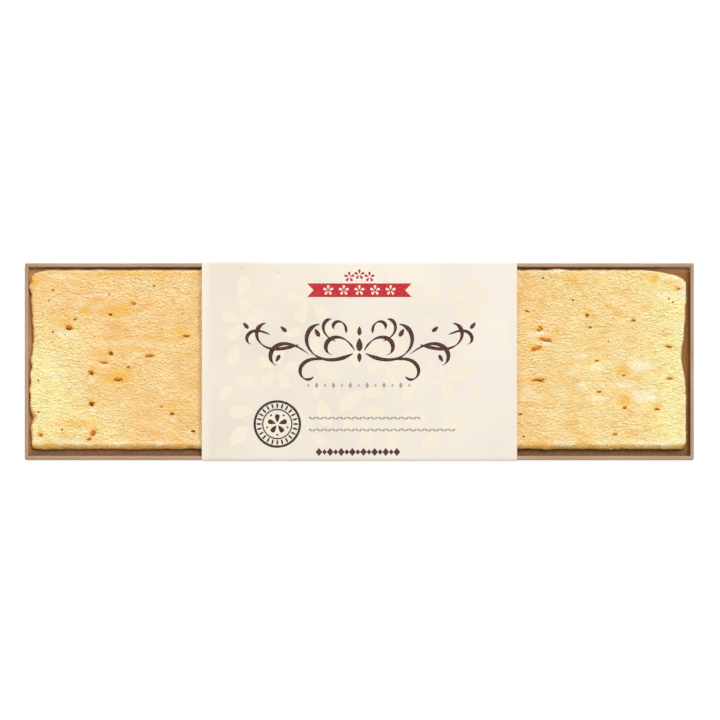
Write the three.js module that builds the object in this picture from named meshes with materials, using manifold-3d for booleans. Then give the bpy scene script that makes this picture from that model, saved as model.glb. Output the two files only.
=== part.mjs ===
// A block of soft nougat in an open card tray, with a card sleeve round the middle of both.
// Units are millimetres. +X runs along the block and +Z is up. The origin is on the ground,
// under the middle of the pack.

import * as THREE from "three";
import { mergeVertices } from "three/addons/utils/BufferGeometryUtils.js";
import { ImprovedNoise } from "three/addons/math/ImprovedNoise.js";
import Module from "manifold-3d";

const wasm = await Module();
wasm.setup();

// Tray of kraft card, its walls folded over to twice the card's thickness
const TRAY_LENGTH = 225;
const TRAY_WIDTH = 66;
const TRAY_HEIGHT = 17;
const TRAY_WALL = 1.2;
const TRAY_FLOOR = 1.0;
const TRAY_CORNER_RADIUS = 0.4;
const TRAY_RIM_RADIUS = 0.35;

// Sleeve of thin white card, closed into a ring by a glue flap under the tray
const SLEEVE_LENGTH = 106;
const SLEEVE_CARD = 0.3;
const SLEEVE_SLACK = 0.1;
const SLEEVE_FOLD_RADIUS = 0.9;
const GLUE_FLAP_WIDTH = 18;

// Block of nougat, measured between the mean lines of its sides
const BLOCK_LENGTH = 220.2;
const BLOCK_WIDTH = 60.2;
const BLOCK_HEIGHT = 15;
const BLOCK_MIDDLE_X = -0.25;
const BLOCK_MIDDLE_Y = 0.7;
const BLOCK_FLOOR_GAP = 0.1;
const BLOCK_WALL_GAP = 0.15;
const BLOCK_EDGE_RADIUS = 0.6;

// The south side has a broken shoulder: how far it reaches down from the top, how deep it is, and the
// power by which it curves over into the upright side
const SOUTH_SHOULDER = { reach: 2.2, depth: 1.1, curve: 1.3 };

// Corners worn round in plan: how far each reaches along the block, and how deep it is
const NORTH_EAST_CORNER = { reach: 17.8, depth: 4.9 };
const NORTH_WEST_CORNER = { reach: 8.0, depth: 2.5 };
const SOUTH_EAST_CORNER = { reach: 2.5, depth: 1.6 };
const SOUTH_WEST_CORNER = { reach: 1.8, depth: 0.8 };

// Places where an end or side leaves its straight line: where, half width and depth inwards. A negative
// depth is a swelling outwards.
const WEST_HOLLOWS = [
  { at: 12, halfWidth: 9, depth: 0.7 },
  { at: -10.5, halfWidth: 5, depth: -0.35 },
  { at: -19.7, halfWidth: 1.8, depth: 1.1 },
  { at: 27, halfWidth: 1.7, depth: -0.9 },
];
const EAST_HOLLOWS = [
  { at: 3.5, halfWidth: 8, depth: 1.5 },
  { at: 16, halfWidth: 6, depth: 0.4 },
];
const NORTH_HOLLOWS = [{ at: 67, halfWidth: 2.5, depth: -0.35 }];

// Unevenness of the cast surface: greatest height either way and distance between its swells. Each
// surface reads its own layer of the noise.
const NOISE_GAIN = 1.6;
const TOP_RELIEF = { height: 0.22, swell: 9, layer: 5 };
const SIDE_RELIEF = { height: 0.15, swell: 5 };
const SIDE_LAYERS = { west: 1, east: 2, south: 3, north: 4 };

// Mesh of the block: steps along, across and up, crowded towards the edges
const BLOCK_STEPS = [60, 20, 6];
const CROWDING = [0.72, 0.5, 0.5];

// Open pits that stand out, as middle x, middle y, length, width and turn in degrees
const PITS = [
  [-97.7, 11.3, 2.4, 1.8, 0],
  [-90.1, -3.9, 1.8, 1.7, -30],
  [-90.1, -14.3, 2.0, 1.7, -40],
  [-81.2, -6.1, 3.4, 1.2, 5],
  [-58.3, 8.5, 2.4, 1.0, -5],
  [-89.7, -24.2, 2.4, 1.5, 55],
  [-107.2, -24.8, 1.7, 1.3, 0],
  [-83.5, 2.7, 1.7, 1.2, -45],
  [-85.9, -0.4, 2.7, 0.8, -5],
  [-76.1, 19.4, 2.0, 1.0, -35],
  [-63.0, -17.6, 1.5, 1.3, 0],
  [-90.9, -26.2, 1.8, 1.0, 10],
  [-70.6, 1.9, 3.6, 1.0, 4],
  [62.6, 7.3, 4.6, 1.3, -12],
  [59.6, 4.4, 4.2, 1.3, 15],
  [60.2, -6.2, 4.8, 1.1, 8],
  [107.4, 24.4, 1.2, 0.6, 0],
  [92.2, 13.8, 1.5, 1.0, 0],
  [76.6, 15.5, 1.3, 1.3, 0],
  [103.8, 4.9, 2.7, 0.8, -8],
  [104.5, -5.8, 2.7, 0.8, -3],
  [86.0, -24.5, 1.7, 0.9, 0],
  [60.2, 10.5, 1.7, 1.0, -30],
  [89.2, -15.6, 1.5, 1.1, 10],
  [100.1, -16.1, 1.7, 0.9, -15],
];

// Smaller pores, one in each cell of a loose grid over the top, clear of the edge and of other pores
const PORE_CELLS = [12, 3];
const PORE_LENGTH = [1.0, 1.6];
const PORE_WIDTH_SHARE = [0.6, 0.9];
const PORE_EDGE_MARGIN = 4;
const PORE_SPACING = 3;
const PORE_SEED = 11;

// Every pore is half as deep as it is wide, and this much more
const PORE_EXTRA_DEPTH = 0.3;

// Heights of the stack
const TRAY_BASE_Z = 2 * SLEEVE_CARD + SLEEVE_SLACK;
const RIM_Z = TRAY_BASE_Z + TRAY_HEIGHT;
const SLEEVE_TOP_Z = RIM_Z + SLEEVE_SLACK + SLEEVE_CARD;
const BLOCK_BASE_Z = TRAY_BASE_Z + TRAY_FLOOR + BLOCK_FLOOR_GAP;

// Materials
const kraftCard = new THREE.MeshStandardMaterial({ color: 0xc8a581, roughness: 0.85, metalness: 0 });
const creamCard = new THREE.MeshStandardMaterial({ color: 0xf6eedf, roughness: 0.7, metalness: 0 });
const nougat = new THREE.MeshStandardMaterial({ color: 0xf2cc84, roughness: 0.65, metalness: 0 });

// Conversions between a geometry and a solid that can be cut
function toSolid(geometry) {
  geometry.deleteAttribute("normal");
  geometry.deleteAttribute("uv");
  const merged = mergeVertices(geometry);
  const vertProperties = new Float32Array(merged.getAttribute("position").array);
  const triVerts = new Uint32Array(merged.getIndex().array);
  return new wasm.Manifold(new wasm.Mesh({ numProp: 3, vertProperties, triVerts }));
}

function toGeometry(solid) {
  const mesh = solid.getMesh();
  const geometry = new THREE.BufferGeometry();
  geometry.setAttribute("position", new THREE.BufferAttribute(mesh.vertProperties, 3));
  geometry.setIndex(new THREE.BufferAttribute(mesh.triVerts, 1));
  geometry.computeVertexNormals();
  return geometry;
}

// Points round a rectangle with rounded corners, anticlockwise seen from above
function roundedRectangle(length, width, radius, cornerSteps = 4) {
  const points = [];
  for (let corner = 0; corner < 4; corner += 1) {
    const signX = corner === 0 || corner === 3 ? 1 : -1;
    const signY = corner < 2 ? 1 : -1;
    const centreX = signX * (length / 2 - radius);
    const centreY = signY * (width / 2 - radius);
    for (let step = 0; step <= cornerSteps; step += 1) {
      const angle = (Math.PI / 2) * (corner + step / cornerSteps);
      points.push(new THREE.Vector2(
        centreX + radius * Math.cos(angle),
        centreY + radius * Math.sin(angle),
      ));
    }
  }
  return points;
}

// Closed skin through a stack of rings with equal numbers of points, capped at both ends
function ringSkin(rings) {
  const count = rings[0].points.length;
  const positions = [];
  const indices = [];
  for (const ring of rings) {
    for (const point of ring.points) {
      positions.push(point.x, point.y, ring.z);
    }
  }
  for (let level = 0; level + 1 < rings.length; level += 1) {
    for (let step = 0; step < count; step += 1) {
      const next = (step + 1) % count;
      const lower = level * count;
      const upper = lower + count;
      indices.push(lower + step, lower + next, upper + next);
      indices.push(lower + step, upper + next, upper + step);
    }
  }
  const last = (rings.length - 1) * count;
  for (let step = 1; step + 1 < count; step += 1) {
    indices.push(0, step + 1, step);
    indices.push(last, last + step, last + step + 1);
  }
  const geometry = new THREE.BufferGeometry();
  geometry.setAttribute("position", new THREE.Float32BufferAttribute(positions, 3));
  geometry.setIndex(indices);
  geometry.computeVertexNormals();
  return geometry;
}

// The tray's skin goes up the outside, over the rim and down the inside to the floor
function trayGeometry() {
  const ringAt = (inset, z) => ({
    z,
    points: roundedRectangle(
      TRAY_LENGTH - 2 * inset,
      TRAY_WIDTH - 2 * inset,
      Math.max(TRAY_CORNER_RADIUS - inset, TRAY_CORNER_RADIUS / 4),
    ),
  });
  const rings = [ringAt(TRAY_RIM_RADIUS / 2, 0), ringAt(0, TRAY_RIM_RADIUS / 2)];
  const rimSteps = 3;
  for (let step = 0; step <= rimSteps; step += 1) {
    const angle = (Math.PI / 2) * (step / rimSteps);
    rings.push(ringAt(
      TRAY_RIM_RADIUS * (1 - Math.cos(angle)),
      TRAY_HEIGHT - TRAY_RIM_RADIUS * (1 - Math.sin(angle)),
    ));
  }
  for (let step = 0; step <= rimSteps; step += 1) {
    const angle = (Math.PI / 2) * (step / rimSteps);
    rings.push(ringAt(
      TRAY_WALL - TRAY_RIM_RADIUS * (1 - Math.sin(angle)),
      TRAY_HEIGHT - TRAY_RIM_RADIUS * (1 - Math.cos(angle)),
    ));
  }
  rings.push(ringAt(TRAY_WALL, TRAY_FLOOR));
  return ringSkin(rings);
}

// The sleeve's section lies in the plane across the block and is drawn out along it
function sleeveGeometry() {
  const raise = (points) => points.map((point) => point.add(new THREE.Vector2(0, SLEEVE_TOP_Z / 2)));
  const outerWidth = TRAY_WIDTH + 2 * (SLEEVE_SLACK + SLEEVE_CARD);
  const innerWidth = outerWidth - 2 * SLEEVE_CARD;
  const innerHeight = SLEEVE_TOP_Z - 2 * SLEEVE_CARD;
  const outside = raise(roundedRectangle(outerWidth, SLEEVE_TOP_Z, SLEEVE_FOLD_RADIUS));
  const inside = raise(roundedRectangle(innerWidth, innerHeight, SLEEVE_FOLD_RADIUS - SLEEVE_CARD));

  // The inside steps up over the glue flap, between the third and the fourth corner
  const flap = [
    new THREE.Vector2(-GLUE_FLAP_WIDTH / 2, SLEEVE_CARD),
    new THREE.Vector2(-GLUE_FLAP_WIDTH / 2, 2 * SLEEVE_CARD),
    new THREE.Vector2(GLUE_FLAP_WIDTH / 2, 2 * SLEEVE_CARD),
    new THREE.Vector2(GLUE_FLAP_WIDTH / 2, SLEEVE_CARD),
  ];
  inside.splice((inside.length * 3) / 4, 0, ...flap);

  const section = new THREE.Shape(outside);
  section.holes.push(new THREE.Path(inside));
  return new THREE.ExtrudeGeometry(section, { depth: SLEEVE_LENGTH, bevelEnabled: false });
}

// How far a worn corner takes the side in, at a distance from the end of the block
function cornerWear(distance, corner) {
  const share = THREE.MathUtils.clamp(1 - distance / corner.reach, 0, 1);
  return corner.depth * (1 - Math.sqrt(1 - share * share));
}

// How far smooth local hollows take a side in, at a place along it
function hollowsAt(value, hollows) {
  return hollows.reduce(
    (sum, { at, halfWidth, depth }) => sum + depth * Math.exp(-(((value - at) / halfWidth) ** 2)),
    0,
  );
}

const noise = new ImprovedNoise();

// Slow random unevenness of about plus or minus one
function unevenness(x, y, swell, layer) {
  return NOISE_GAIN * noise.noise(x / swell, y / swell, layer);
}

// Seen from above: where the four sides of the block run, in the pack's frame
const WEST_LIMIT = TRAY_WALL + BLOCK_WALL_GAP - TRAY_LENGTH / 2;
const WEST = BLOCK_MIDDLE_X - BLOCK_LENGTH / 2;
const EAST = BLOCK_MIDDLE_X + BLOCK_LENGTH / 2;
const SOUTH = BLOCK_MIDDLE_Y - BLOCK_WIDTH / 2;
const NORTH = BLOCK_MIDDLE_Y + BLOCK_WIDTH / 2;

function westSide(y) {
  return WEST + hollowsAt(y, WEST_HOLLOWS);
}

function eastSide(y) {
  return EAST - hollowsAt(y, EAST_HOLLOWS);
}

function southSide(x, z) {
  const wear = cornerWear(x - WEST, SOUTH_WEST_CORNER) + cornerWear(EAST - x, SOUTH_EAST_CORNER);
  const share = THREE.MathUtils.clamp(1 - (BLOCK_HEIGHT - z) / SOUTH_SHOULDER.reach, 0, 1);
  return SOUTH + SOUTH_SHOULDER.depth * share ** SOUTH_SHOULDER.curve + wear;
}

function northSide(x) {
  const wear = cornerWear(x - WEST, NORTH_WEST_CORNER) + cornerWear(EAST - x, NORTH_EAST_CORNER);
  return NORTH - wear - hollowsAt(x, NORTH_HOLLOWS);
}

// Rounds the upright and upper edges of a box that stands on z = 0
function softenEdges(point) {
  const core = new THREE.Vector3(
    THREE.MathUtils.clamp(point.x, WEST + BLOCK_EDGE_RADIUS, EAST - BLOCK_EDGE_RADIUS),
    THREE.MathUtils.clamp(point.y, SOUTH + BLOCK_EDGE_RADIUS, NORTH - BLOCK_EDGE_RADIUS),
    Math.min(point.z, BLOCK_HEIGHT - BLOCK_EDGE_RADIUS),
  );
  const out = point.clone().sub(core);
  const reach = Math.max(Math.abs(out.x), Math.abs(out.y), Math.abs(out.z));
  if (reach > 0) {
    point.copy(core).addScaledVector(out, reach / out.length());
  }
}

// Height of the relief on a side, and on the top
function sideRelief(along, z, layer) {
  return SIDE_RELIEF.height * unevenness(along, z, SIDE_RELIEF.swell, layer);
}

function topRelief(x, y) {
  return TOP_RELIEF.height * unevenness(x, y, TOP_RELIEF.swell, TOP_RELIEF.layer);
}

// Bends the straight sides to the real outline and lays the relief on the top and the sides
function bendSides(point) {
  const { x, y, z } = point;
  const height = THREE.MathUtils.clamp(z / BLOCK_HEIGHT, 0, 1);
  const along = (x - WEST) / BLOCK_LENGTH;
  const across = (y - SOUTH) / BLOCK_WIDTH;
  const west = Math.max(westSide(y) + sideRelief(y, z, SIDE_LAYERS.west), WEST_LIMIT);
  const east = eastSide(y) + sideRelief(y, z, SIDE_LAYERS.east);
  const south = southSide(x, z) + sideRelief(x, z, SIDE_LAYERS.south);
  const north = northSide(x) + sideRelief(x, z, SIDE_LAYERS.north);
  point.x = THREE.MathUtils.lerp(west, east, along);
  point.y = THREE.MathUtils.lerp(south, north, across);
  point.z = z + height * topRelief(x, y);
}

// Moves an even step between 0 and 1 towards the nearer end
function crowd(step, amount) {
  return step - (amount * Math.sin(2 * Math.PI * step)) / (2 * Math.PI);
}

// The cast block before its pores: its foot reaches this far below the floor, to be cut off level
const FOOT_DEPTH = 1;

function castBlock() {
  const geometry = new THREE.BoxGeometry(1, 1, 1, ...BLOCK_STEPS);
  const position = geometry.getAttribute("position");
  for (let index = 0; index < position.count; index += 1) {
    const point = new THREE.Vector3().fromBufferAttribute(position, index).addScalar(0.5);
    point.x = WEST + BLOCK_LENGTH * crowd(point.x, CROWDING[0]);
    point.y = SOUTH + BLOCK_WIDTH * crowd(point.y, CROWDING[1]);
    point.z = (BLOCK_HEIGHT + FOOT_DEPTH) * crowd(point.z, CROWDING[2]) - FOOT_DEPTH;
    softenEdges(point);
    bendSides(point);
    position.setXYZ(index, point.x, point.y, point.z);
  }
  const belowFloor = new THREE.BoxGeometry(2 * BLOCK_LENGTH, 2 * BLOCK_WIDTH, 4 * FOOT_DEPTH);
  belowFloor.translate(0, 0, -2 * FOOT_DEPTH);
  return toSolid(geometry).subtract(toSolid(belowFloor));
}

// A small repeatable source of numbers between 0 and 1: each state is the last one times a factor, and
// the remainder after division by a large prime
const RANDOM_FACTOR = 16807;
const RANDOM_PRIME = 2147483647;

function randomSource(seed) {
  let state = seed;
  return () => {
    state = (state * RANDOM_FACTOR) % RANDOM_PRIME;
    return state / RANDOM_PRIME;
  };
}

// Pores of the loose grid, in the same form as PITS
function scatteredPores() {
  const random = randomSource(PORE_SEED);
  const pores = [];
  const cellLength = (BLOCK_LENGTH - 2 * PORE_EDGE_MARGIN) / PORE_CELLS[0];
  const cellWidth = (BLOCK_WIDTH - 2 * PORE_EDGE_MARGIN) / PORE_CELLS[1];
  for (let column = 0; column < PORE_CELLS[0]; column += 1) {
    for (let row = 0; row < PORE_CELLS[1]; row += 1) {
      const x = WEST + PORE_EDGE_MARGIN + (column + random()) * cellLength;
      const y = SOUTH + PORE_EDGE_MARGIN + (row + random()) * cellWidth;
      const length = THREE.MathUtils.lerp(...PORE_LENGTH, random());
      const width = length * THREE.MathUtils.lerp(...PORE_WIDTH_SHARE, random());
      const turn = 180 * random();
      const clear = [...PITS, ...pores].every(
        (pit) => Math.hypot(pit[0] - x, pit[1] - y) > PORE_SPACING,
      );
      if (clear) {
        pores.push([x, y, length, width, turn]);
      }
    }
  }
  return pores;
}

// A pore is an open bubble: an egg-shaped hollow sunk in the top
function poreSolid([x, y, length, width, turn], index) {
  const standsOut = index < PITS.length;
  const bubble = standsOut ? new THREE.IcosahedronGeometry(1, 1) : new THREE.OctahedronGeometry(1, 1);
  bubble.scale(length / 2, width / 2, width / 2 + PORE_EXTRA_DEPTH);
  bubble.rotateZ(THREE.MathUtils.degToRad(turn));
  bubble.translate(x, y, BLOCK_HEIGHT + topRelief(x, y));
  return toSolid(bubble);
}

function blockGeometry() {
  const pores = [...PITS, ...scatteredPores()].map(poreSolid);
  const block = pores.reduce((solid, pore) => solid.subtract(pore), castBlock());
  return toGeometry(block);
}

const tray = new THREE.Mesh(trayGeometry(), kraftCard);
tray.name = "tray";
tray.position.z = TRAY_BASE_Z;

const block = new THREE.Mesh(blockGeometry(), nougat);
block.name = "nougat_block";
block.position.z = BLOCK_BASE_Z;

const sleeve = new THREE.Mesh(sleeveGeometry(), creamCard);
sleeve.name = "sleeve";
sleeve.rotation.set(Math.PI / 2, 0, Math.PI / 2, "ZYX");
sleeve.position.x = -SLEEVE_LENGTH / 2;

const pack = new THREE.Group();
pack.add(tray, block, sleeve);

export default pack;
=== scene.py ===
# %% [markdown]
# This lesson dresses a block of soft almond nougat that lies in an open tray of brown card, with a cream
# card sleeve round its middle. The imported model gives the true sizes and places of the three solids.
# Here each of them gets its finish: the paste with its pores and toasted bits, the folded kraft card, and
# the printed sleeve. Blender works in metres, and the value MM below turns millimetres into them.

# %% Load the frame
import math
import random

import bpy
import numpy as np
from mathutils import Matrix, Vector, noise


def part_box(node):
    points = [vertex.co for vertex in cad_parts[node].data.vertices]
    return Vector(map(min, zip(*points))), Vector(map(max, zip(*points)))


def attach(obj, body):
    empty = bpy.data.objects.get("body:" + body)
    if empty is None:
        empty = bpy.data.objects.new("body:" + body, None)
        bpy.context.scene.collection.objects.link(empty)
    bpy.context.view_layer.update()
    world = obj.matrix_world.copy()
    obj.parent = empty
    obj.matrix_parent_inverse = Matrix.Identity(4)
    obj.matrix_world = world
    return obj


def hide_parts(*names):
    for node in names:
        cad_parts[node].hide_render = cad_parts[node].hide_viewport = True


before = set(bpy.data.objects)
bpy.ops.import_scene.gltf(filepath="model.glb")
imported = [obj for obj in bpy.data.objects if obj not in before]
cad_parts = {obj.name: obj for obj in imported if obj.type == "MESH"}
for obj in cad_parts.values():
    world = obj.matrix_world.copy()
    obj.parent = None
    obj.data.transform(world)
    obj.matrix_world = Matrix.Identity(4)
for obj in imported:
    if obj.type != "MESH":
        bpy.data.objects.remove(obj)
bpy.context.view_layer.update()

MM = 0.001
tray_low, tray_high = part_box("tray")
block_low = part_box("nougat_block")[0]
sleeve_low, sleeve_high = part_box("sleeve")
print("tray", [round(size / MM, 1) for size in tray_high - tray_low], "mm")

# %% [markdown]
# Every material, and the light from all round, is a small tree of nodes. One function turns a colour
# written as sRGB hex into the linear numbers that a shader wants. One fills a node's inputs with plain
# values, colours or the output of another node, and one adds a node that way.

# %% Colours and nodes
def linear(hex_colour):
    """Linear red, green, blue and alpha from a colour written as #rrggbb."""
    channels = [int(hex_colour[place:place + 2], 16) / 255 for place in (1, 3, 5)]
    curved = [c / 12.92 if c <= 0.04045 else ((c + 0.055) / 1.055) ** 2.4 for c in channels]
    return (*curved, 1.0)


def shown(sockets, name=None):
    """The first socket in use, or the first in use with that name."""
    return next(socket for socket in sockets if socket.enabled and name in (None, socket.name))


def fill(node, inputs):
    """Fills inputs by name: a value, a colour as #rrggbb, a node (its first output) or an output."""
    for name, value in inputs.items():
        socket = shown(node.inputs, name)
        if isinstance(value, bpy.types.Node):
            value = shown(value.outputs)
        if isinstance(value, bpy.types.NodeSocket):
            node.id_data.links.new(value, socket)
        else:
            socket.default_value = linear(value) if isinstance(value, str) else value


def add_node(tree, kind, inputs=None, **settings):
    """Adds a node with its settings, such as its data type, and its filled inputs."""
    node = tree.nodes.new("ShaderNode" + kind)
    for name, value in settings.items():
        setattr(node, name, value)
    fill(node, inputs or {})
    return node


# %% [markdown]
# The photograph looks straight down on the pack from far away: at both ends the gap shows the tray's floor
# and hardly any of its walls. So the camera hangs 8 m up, leans a little towards the viewer, and has a lens
# so long that 720 pixels take in 242 mm at the height of the tray's rim. It is set first, because
# everything after it is judged through it.

# %% Camera
CAMERA_DISTANCE = 8000 * MM
CAMERA_LEAN = math.radians(1.2)
VIEW_WIDTH = 242.1 * MM
AIM = Vector((0.2 * MM, 0.44 * MM, tray_high.z))

bpy.ops.object.camera_add()
camera = bpy.context.object
camera.name = "camera_above"
camera.location = AIM + CAMERA_DISTANCE * Vector((0, -math.sin(CAMERA_LEAN), math.cos(CAMERA_LEAN)))
camera.rotation_euler = (CAMERA_LEAN, 0, 0)
camera.data.lens = camera.data.sensor_width * CAMERA_DISTANCE / VIEW_WIDTH
bpy.context.scene.camera = camera
print("lens", round(camera.data.lens), "mm")

# %% [markdown]
# The light is a soft studio light. A broad lamp almost overhead, a few degrees up and to the right, reaches
# down to the floor of the gap round the block and leaves the tray's upper and right inner walls dark. A
# second lamp comes in low from the same side and gives the paste's grain its relief. The rest is even
# light from all round. The view transform is Standard, so that white paper comes out white.

# %% Light
# Of each lamp: its tilt from overhead, its bearing, its energy and how wide it looks. Angles in degrees.
OVERHEAD_LIGHT = (4.5, 38, 1.04, 7)
RAKING_LIGHT = (60, 30, 1.2, 8)
SURROUND_STRENGTH = 0.62


def add_lamp(name, tilt, bearing, energy, width):
    """A far lamp, tilted from overhead towards a compass bearing: 0 is +Y and 90 is +X."""
    bpy.ops.object.light_add(type="SUN")
    lamp = bpy.context.object
    lamp.name = name
    lean, turn = math.radians(tilt), math.radians(bearing)
    towards = Vector((math.sin(lean) * math.sin(turn), math.sin(lean) * math.cos(turn), math.cos(lean)))
    lamp.location = AIM + towards
    lamp.rotation_euler = towards.to_track_quat("Z", "Y").to_euler()
    lamp.data.energy = energy
    lamp.data.angle = math.radians(width)
    print(name, "shines from", [round(part, 2) for part in towards])


add_lamp("overhead_light", *OVERHEAD_LIGHT)
add_lamp("raking_light", *RAKING_LIGHT)

world = bpy.data.worlds.new("studio_surround")
world.use_nodes = True
fill(world.node_tree.nodes["Background"], {"Color": "#fffdfa", "Strength": SURROUND_STRENGTH})
bpy.context.scene.world = world
bpy.context.scene.view_settings.view_transform = "Standard"

# %% [markdown]
# Every material starts from one plain shader with its colour, its roughness and its gloss. Patterns read
# Object coordinates, which are metres on the real thing, so the scale of a pattern is one over the size of
# its features.

# %% Start of a material
def start_material(name, base, roughness, specular):
    """A new material with one plain shader. Returns it, its tree, its shader and its coordinates."""
    material = bpy.data.materials.new(name)
    material.use_nodes = True
    material.diffuse_color = linear(base)
    tree = material.node_tree
    shader = tree.nodes["Principled BSDF"]
    fill(shader, {"Base Color": base, "Roughness": roughness, "Specular IOR Level": specular})
    return material, tree, shader, add_node(tree, "TexCoord").outputs["Object"]


# %% [markdown]
# The floor is the milky acrylic sheet of a light table, on which small goods are photographed for a white
# ground. Most of its white is its own even glow, so that the pack has only a trace of shadow. The sheet
# reflects little, or its light would bleach the sleeve's sides. It lies a hair lower than the pack,
# because two faces at one height would flicker into each other.

# %% Floor
FLOOR_SIZE = 3.0
FLOOR_GLOW = 0.84
FLOOR_GAP = 0.05 * MM
FLOOR_MOTTLE = 40 * MM

light_table, tree, shader, coords = start_material("milky_acrylic_light_table", "#8b8a88", 0.6, 0.2)
mottle = add_node(tree, "TexNoise", {"Vector": coords, "Scale": 1 / FLOOR_MOTTLE, "Detail": 3.0})
milky = add_node(tree, "Mix", {"Factor": mottle, "A": "#888785", "B": "#8e8d8c"}, data_type="RGBA")
fill(shader, {"Base Color": milky, "Emission Color": "#ffffff", "Emission Strength": FLOOR_GLOW})

bpy.ops.object.select_all(action="DESELECT")
bpy.ops.mesh.primitive_plane_add(size=FLOOR_SIZE, location=(0, 0, -FLOOR_GAP))
floor = bpy.context.object
floor.name = "floor"
floor.data.materials.append(light_table)
print("floor", FLOOR_SIZE, "m wide")

# %% [markdown]
# Card and paste have no one colour. Each has a base, and others lie over it where its fibres, its grain or
# its place on the piece say so. Each layer needs a node that turns a pattern into a share and one that
# mixes two colours by that share, so one function adds a row of such pairs from a short table.

# %% Layers of colour
def lay_colours(tree, base, layers):
    """Colours laid over a base one by one. A row is a pattern, the pattern's values where the colour
    starts and where it is full, how much it covers there, and the colour."""
    for pattern, start, full, cover, colour in layers:
        share = add_node(tree, "MapRange", {"Value": pattern, "From Min": start, "From Max": full,
                                            "To Max": cover})
        base = add_node(tree, "Mix", {"Factor": share, "A": base, "B": colour}, data_type="RGBA")
    return base


# %% [markdown]
# The tray is kraft card: brown unbleached pulp, rolled flat and left uncoated. Close to, its surface is dull
# and faintly cloudy, with fibres that lie mostly one way and a few darker specks of bark. The shader stays
# rough, and the fibres are a noise drawn out along the block. The liner inside is more orange. Its colours
# go by place, as painted light and shade in the gaps round the block: painted light at the left end and
# along the far side, painted shade at the right end and along the near side.

# %% Kraft card
KRAFT_CLOUD = 14 * MM
KRAFT_FIBRE = 0.8 * MM
KRAFT_SPECK = 3.5 * MM
LINER_LIGHT_TO_SHADE = (-60 * MM, 60 * MM)
NEAR_GAP_PAINTED_SHADE = (-29 * MM, -31 * MM)
FAR_GAP_PAINTED_LIGHT = (30 * MM, 31 * MM)

kraft_card, tree, shader, coords = start_material("uncoated_kraft_card", "#c8a27a", 0.85, 0.25)
drawn_out = add_node(tree, "Mapping", {"Vector": coords, "Scale": (0.22, 1.0, 1.0)})
cloud = add_node(tree, "TexNoise", {"Vector": coords, "Scale": 1 / KRAFT_CLOUD, "Detail": 3.0})
fibre = add_node(tree, "TexNoise", {"Vector": drawn_out, "Scale": 1 / KRAFT_FIBRE, "Detail": 4.0})
speck = add_node(tree, "TexVoronoi", {"Vector": drawn_out, "Scale": 1 / KRAFT_SPECK})
bark = lay_colours(tree, "#b09175", [
    (cloud, 0.35, 0.65, 1.0, "#bda088"),
    (fibre, 0.3, 0.7, 0.5, "#a58466"),
    (speck, 0.09, 0.04, 0.6, "#7d5836"),
])
relief = add_node(tree, "Bump", {"Height": fibre, "Distance": 0.05 * MM})
fill(shader, {"Base Color": bark, "Normal": relief})

kraft_liner, tree, shader, coords = start_material("kraft_liner_inside_tray", "#e0b078", 0.8, 0.25)
place = add_node(tree, "SeparateXYZ", {"Vector": coords})
fibre = add_node(tree, "TexNoise", {"Vector": coords, "Scale": 1 / KRAFT_FIBRE, "Detail": 4.0})
# Painted light at the left end and along the far side, painted shade at the right end and along the near
# side.
liner = lay_colours(tree, "#ffc987", [
    (place.outputs["X"], *LINER_LIGHT_TO_SHADE, 1.0, "#cc8b42"),
    (place.outputs["Y"], *NEAR_GAP_PAINTED_SHADE, 0.95, "#a17851"),
    (place.outputs["Y"], *FAR_GAP_PAINTED_LIGHT, 0.8, "#ffe0b4"),
    (fibre, 0.3, 0.7, 0.2, "#ffecd0"),
])
fill(shader, {"Base Color": liner})
print("card:", kraft_card.name, "and", kraft_liner.name)

# %% [markdown]
# Operators act on whatever is selected, so every step starts by choosing what it works on. One helper makes
# a piece active. Another picks faces or edges in edit mode by where they are and which way they point, as a
# hand would with the mouse.

# %% Choose what to work on
def make_active(piece):
    bpy.ops.object.select_all(action="DESELECT")
    piece.select_set(True)
    bpy.context.view_layer.objects.active = piece


def pick(piece, kind, test):
    """Selects the faces or edges whose middle and direction pass the test. Edit mode, before and after."""
    bpy.ops.mesh.select_mode(type=kind)
    bpy.ops.mesh.select_all(action="DESELECT")
    bpy.ops.object.mode_set(mode="OBJECT")
    points = piece.data.vertices
    if kind == "FACE":
        for face in piece.data.polygons:
            face.select = test(face.center, face.normal)
    else:
        for edge in piece.data.edges:
            start, end = (points[index].co for index in edge.vertices)
            edge.select = test((start + end) / 2, (end - start).normalized())
    bpy.ops.object.mode_set(mode="EDIT")


# %% [markdown]
# Each straight piece starts as a cube primitive, brought to its real size at its real place in edit mode, so
# that its origin stays at the world's origin. Parts of a piece are joined into one mesh. A finished piece
# gets its materials and the body that carries it.

# %% Start, join and finish a piece
def start_box(name, low, high):
    """A cube primitive that fills the box between two corners, left in edit mode with all selected."""
    bpy.ops.object.select_all(action="DESELECT")
    bpy.ops.mesh.primitive_cube_add(size=1)
    piece = bpy.context.object
    piece.name = name
    bpy.ops.object.mode_set(mode="EDIT")
    bpy.ops.mesh.select_all(action="SELECT")
    bpy.ops.transform.resize(value=Vector(high) - Vector(low))
    bpy.ops.transform.translate(value=(Vector(low) + Vector(high)) / 2)
    return piece


def join(name, parts):
    """Joins several pieces into one, with all transforms laid into its mesh."""
    make_active(parts[0])
    for part in parts:
        part.select_set(True)
    bpy.ops.object.transform_apply(location=True, rotation=True, scale=True)
    if len(parts) > 1:
        bpy.ops.object.join()
    parts[0].name = name
    return parts[0]


def finish_piece(piece, slot, *materials):
    """Gives a finished piece its materials and the body that carries it. Its slot is not used."""
    for index, material in enumerate(materials):
        if index < len(piece.data.materials):
            piece.data.materials[index] = material
        else:
            piece.data.materials.append(material)
    piece.data.name = piece.name
    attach(piece, "root")
    print(piece.name, "has", len(piece.data.polygons), "faces")
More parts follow.
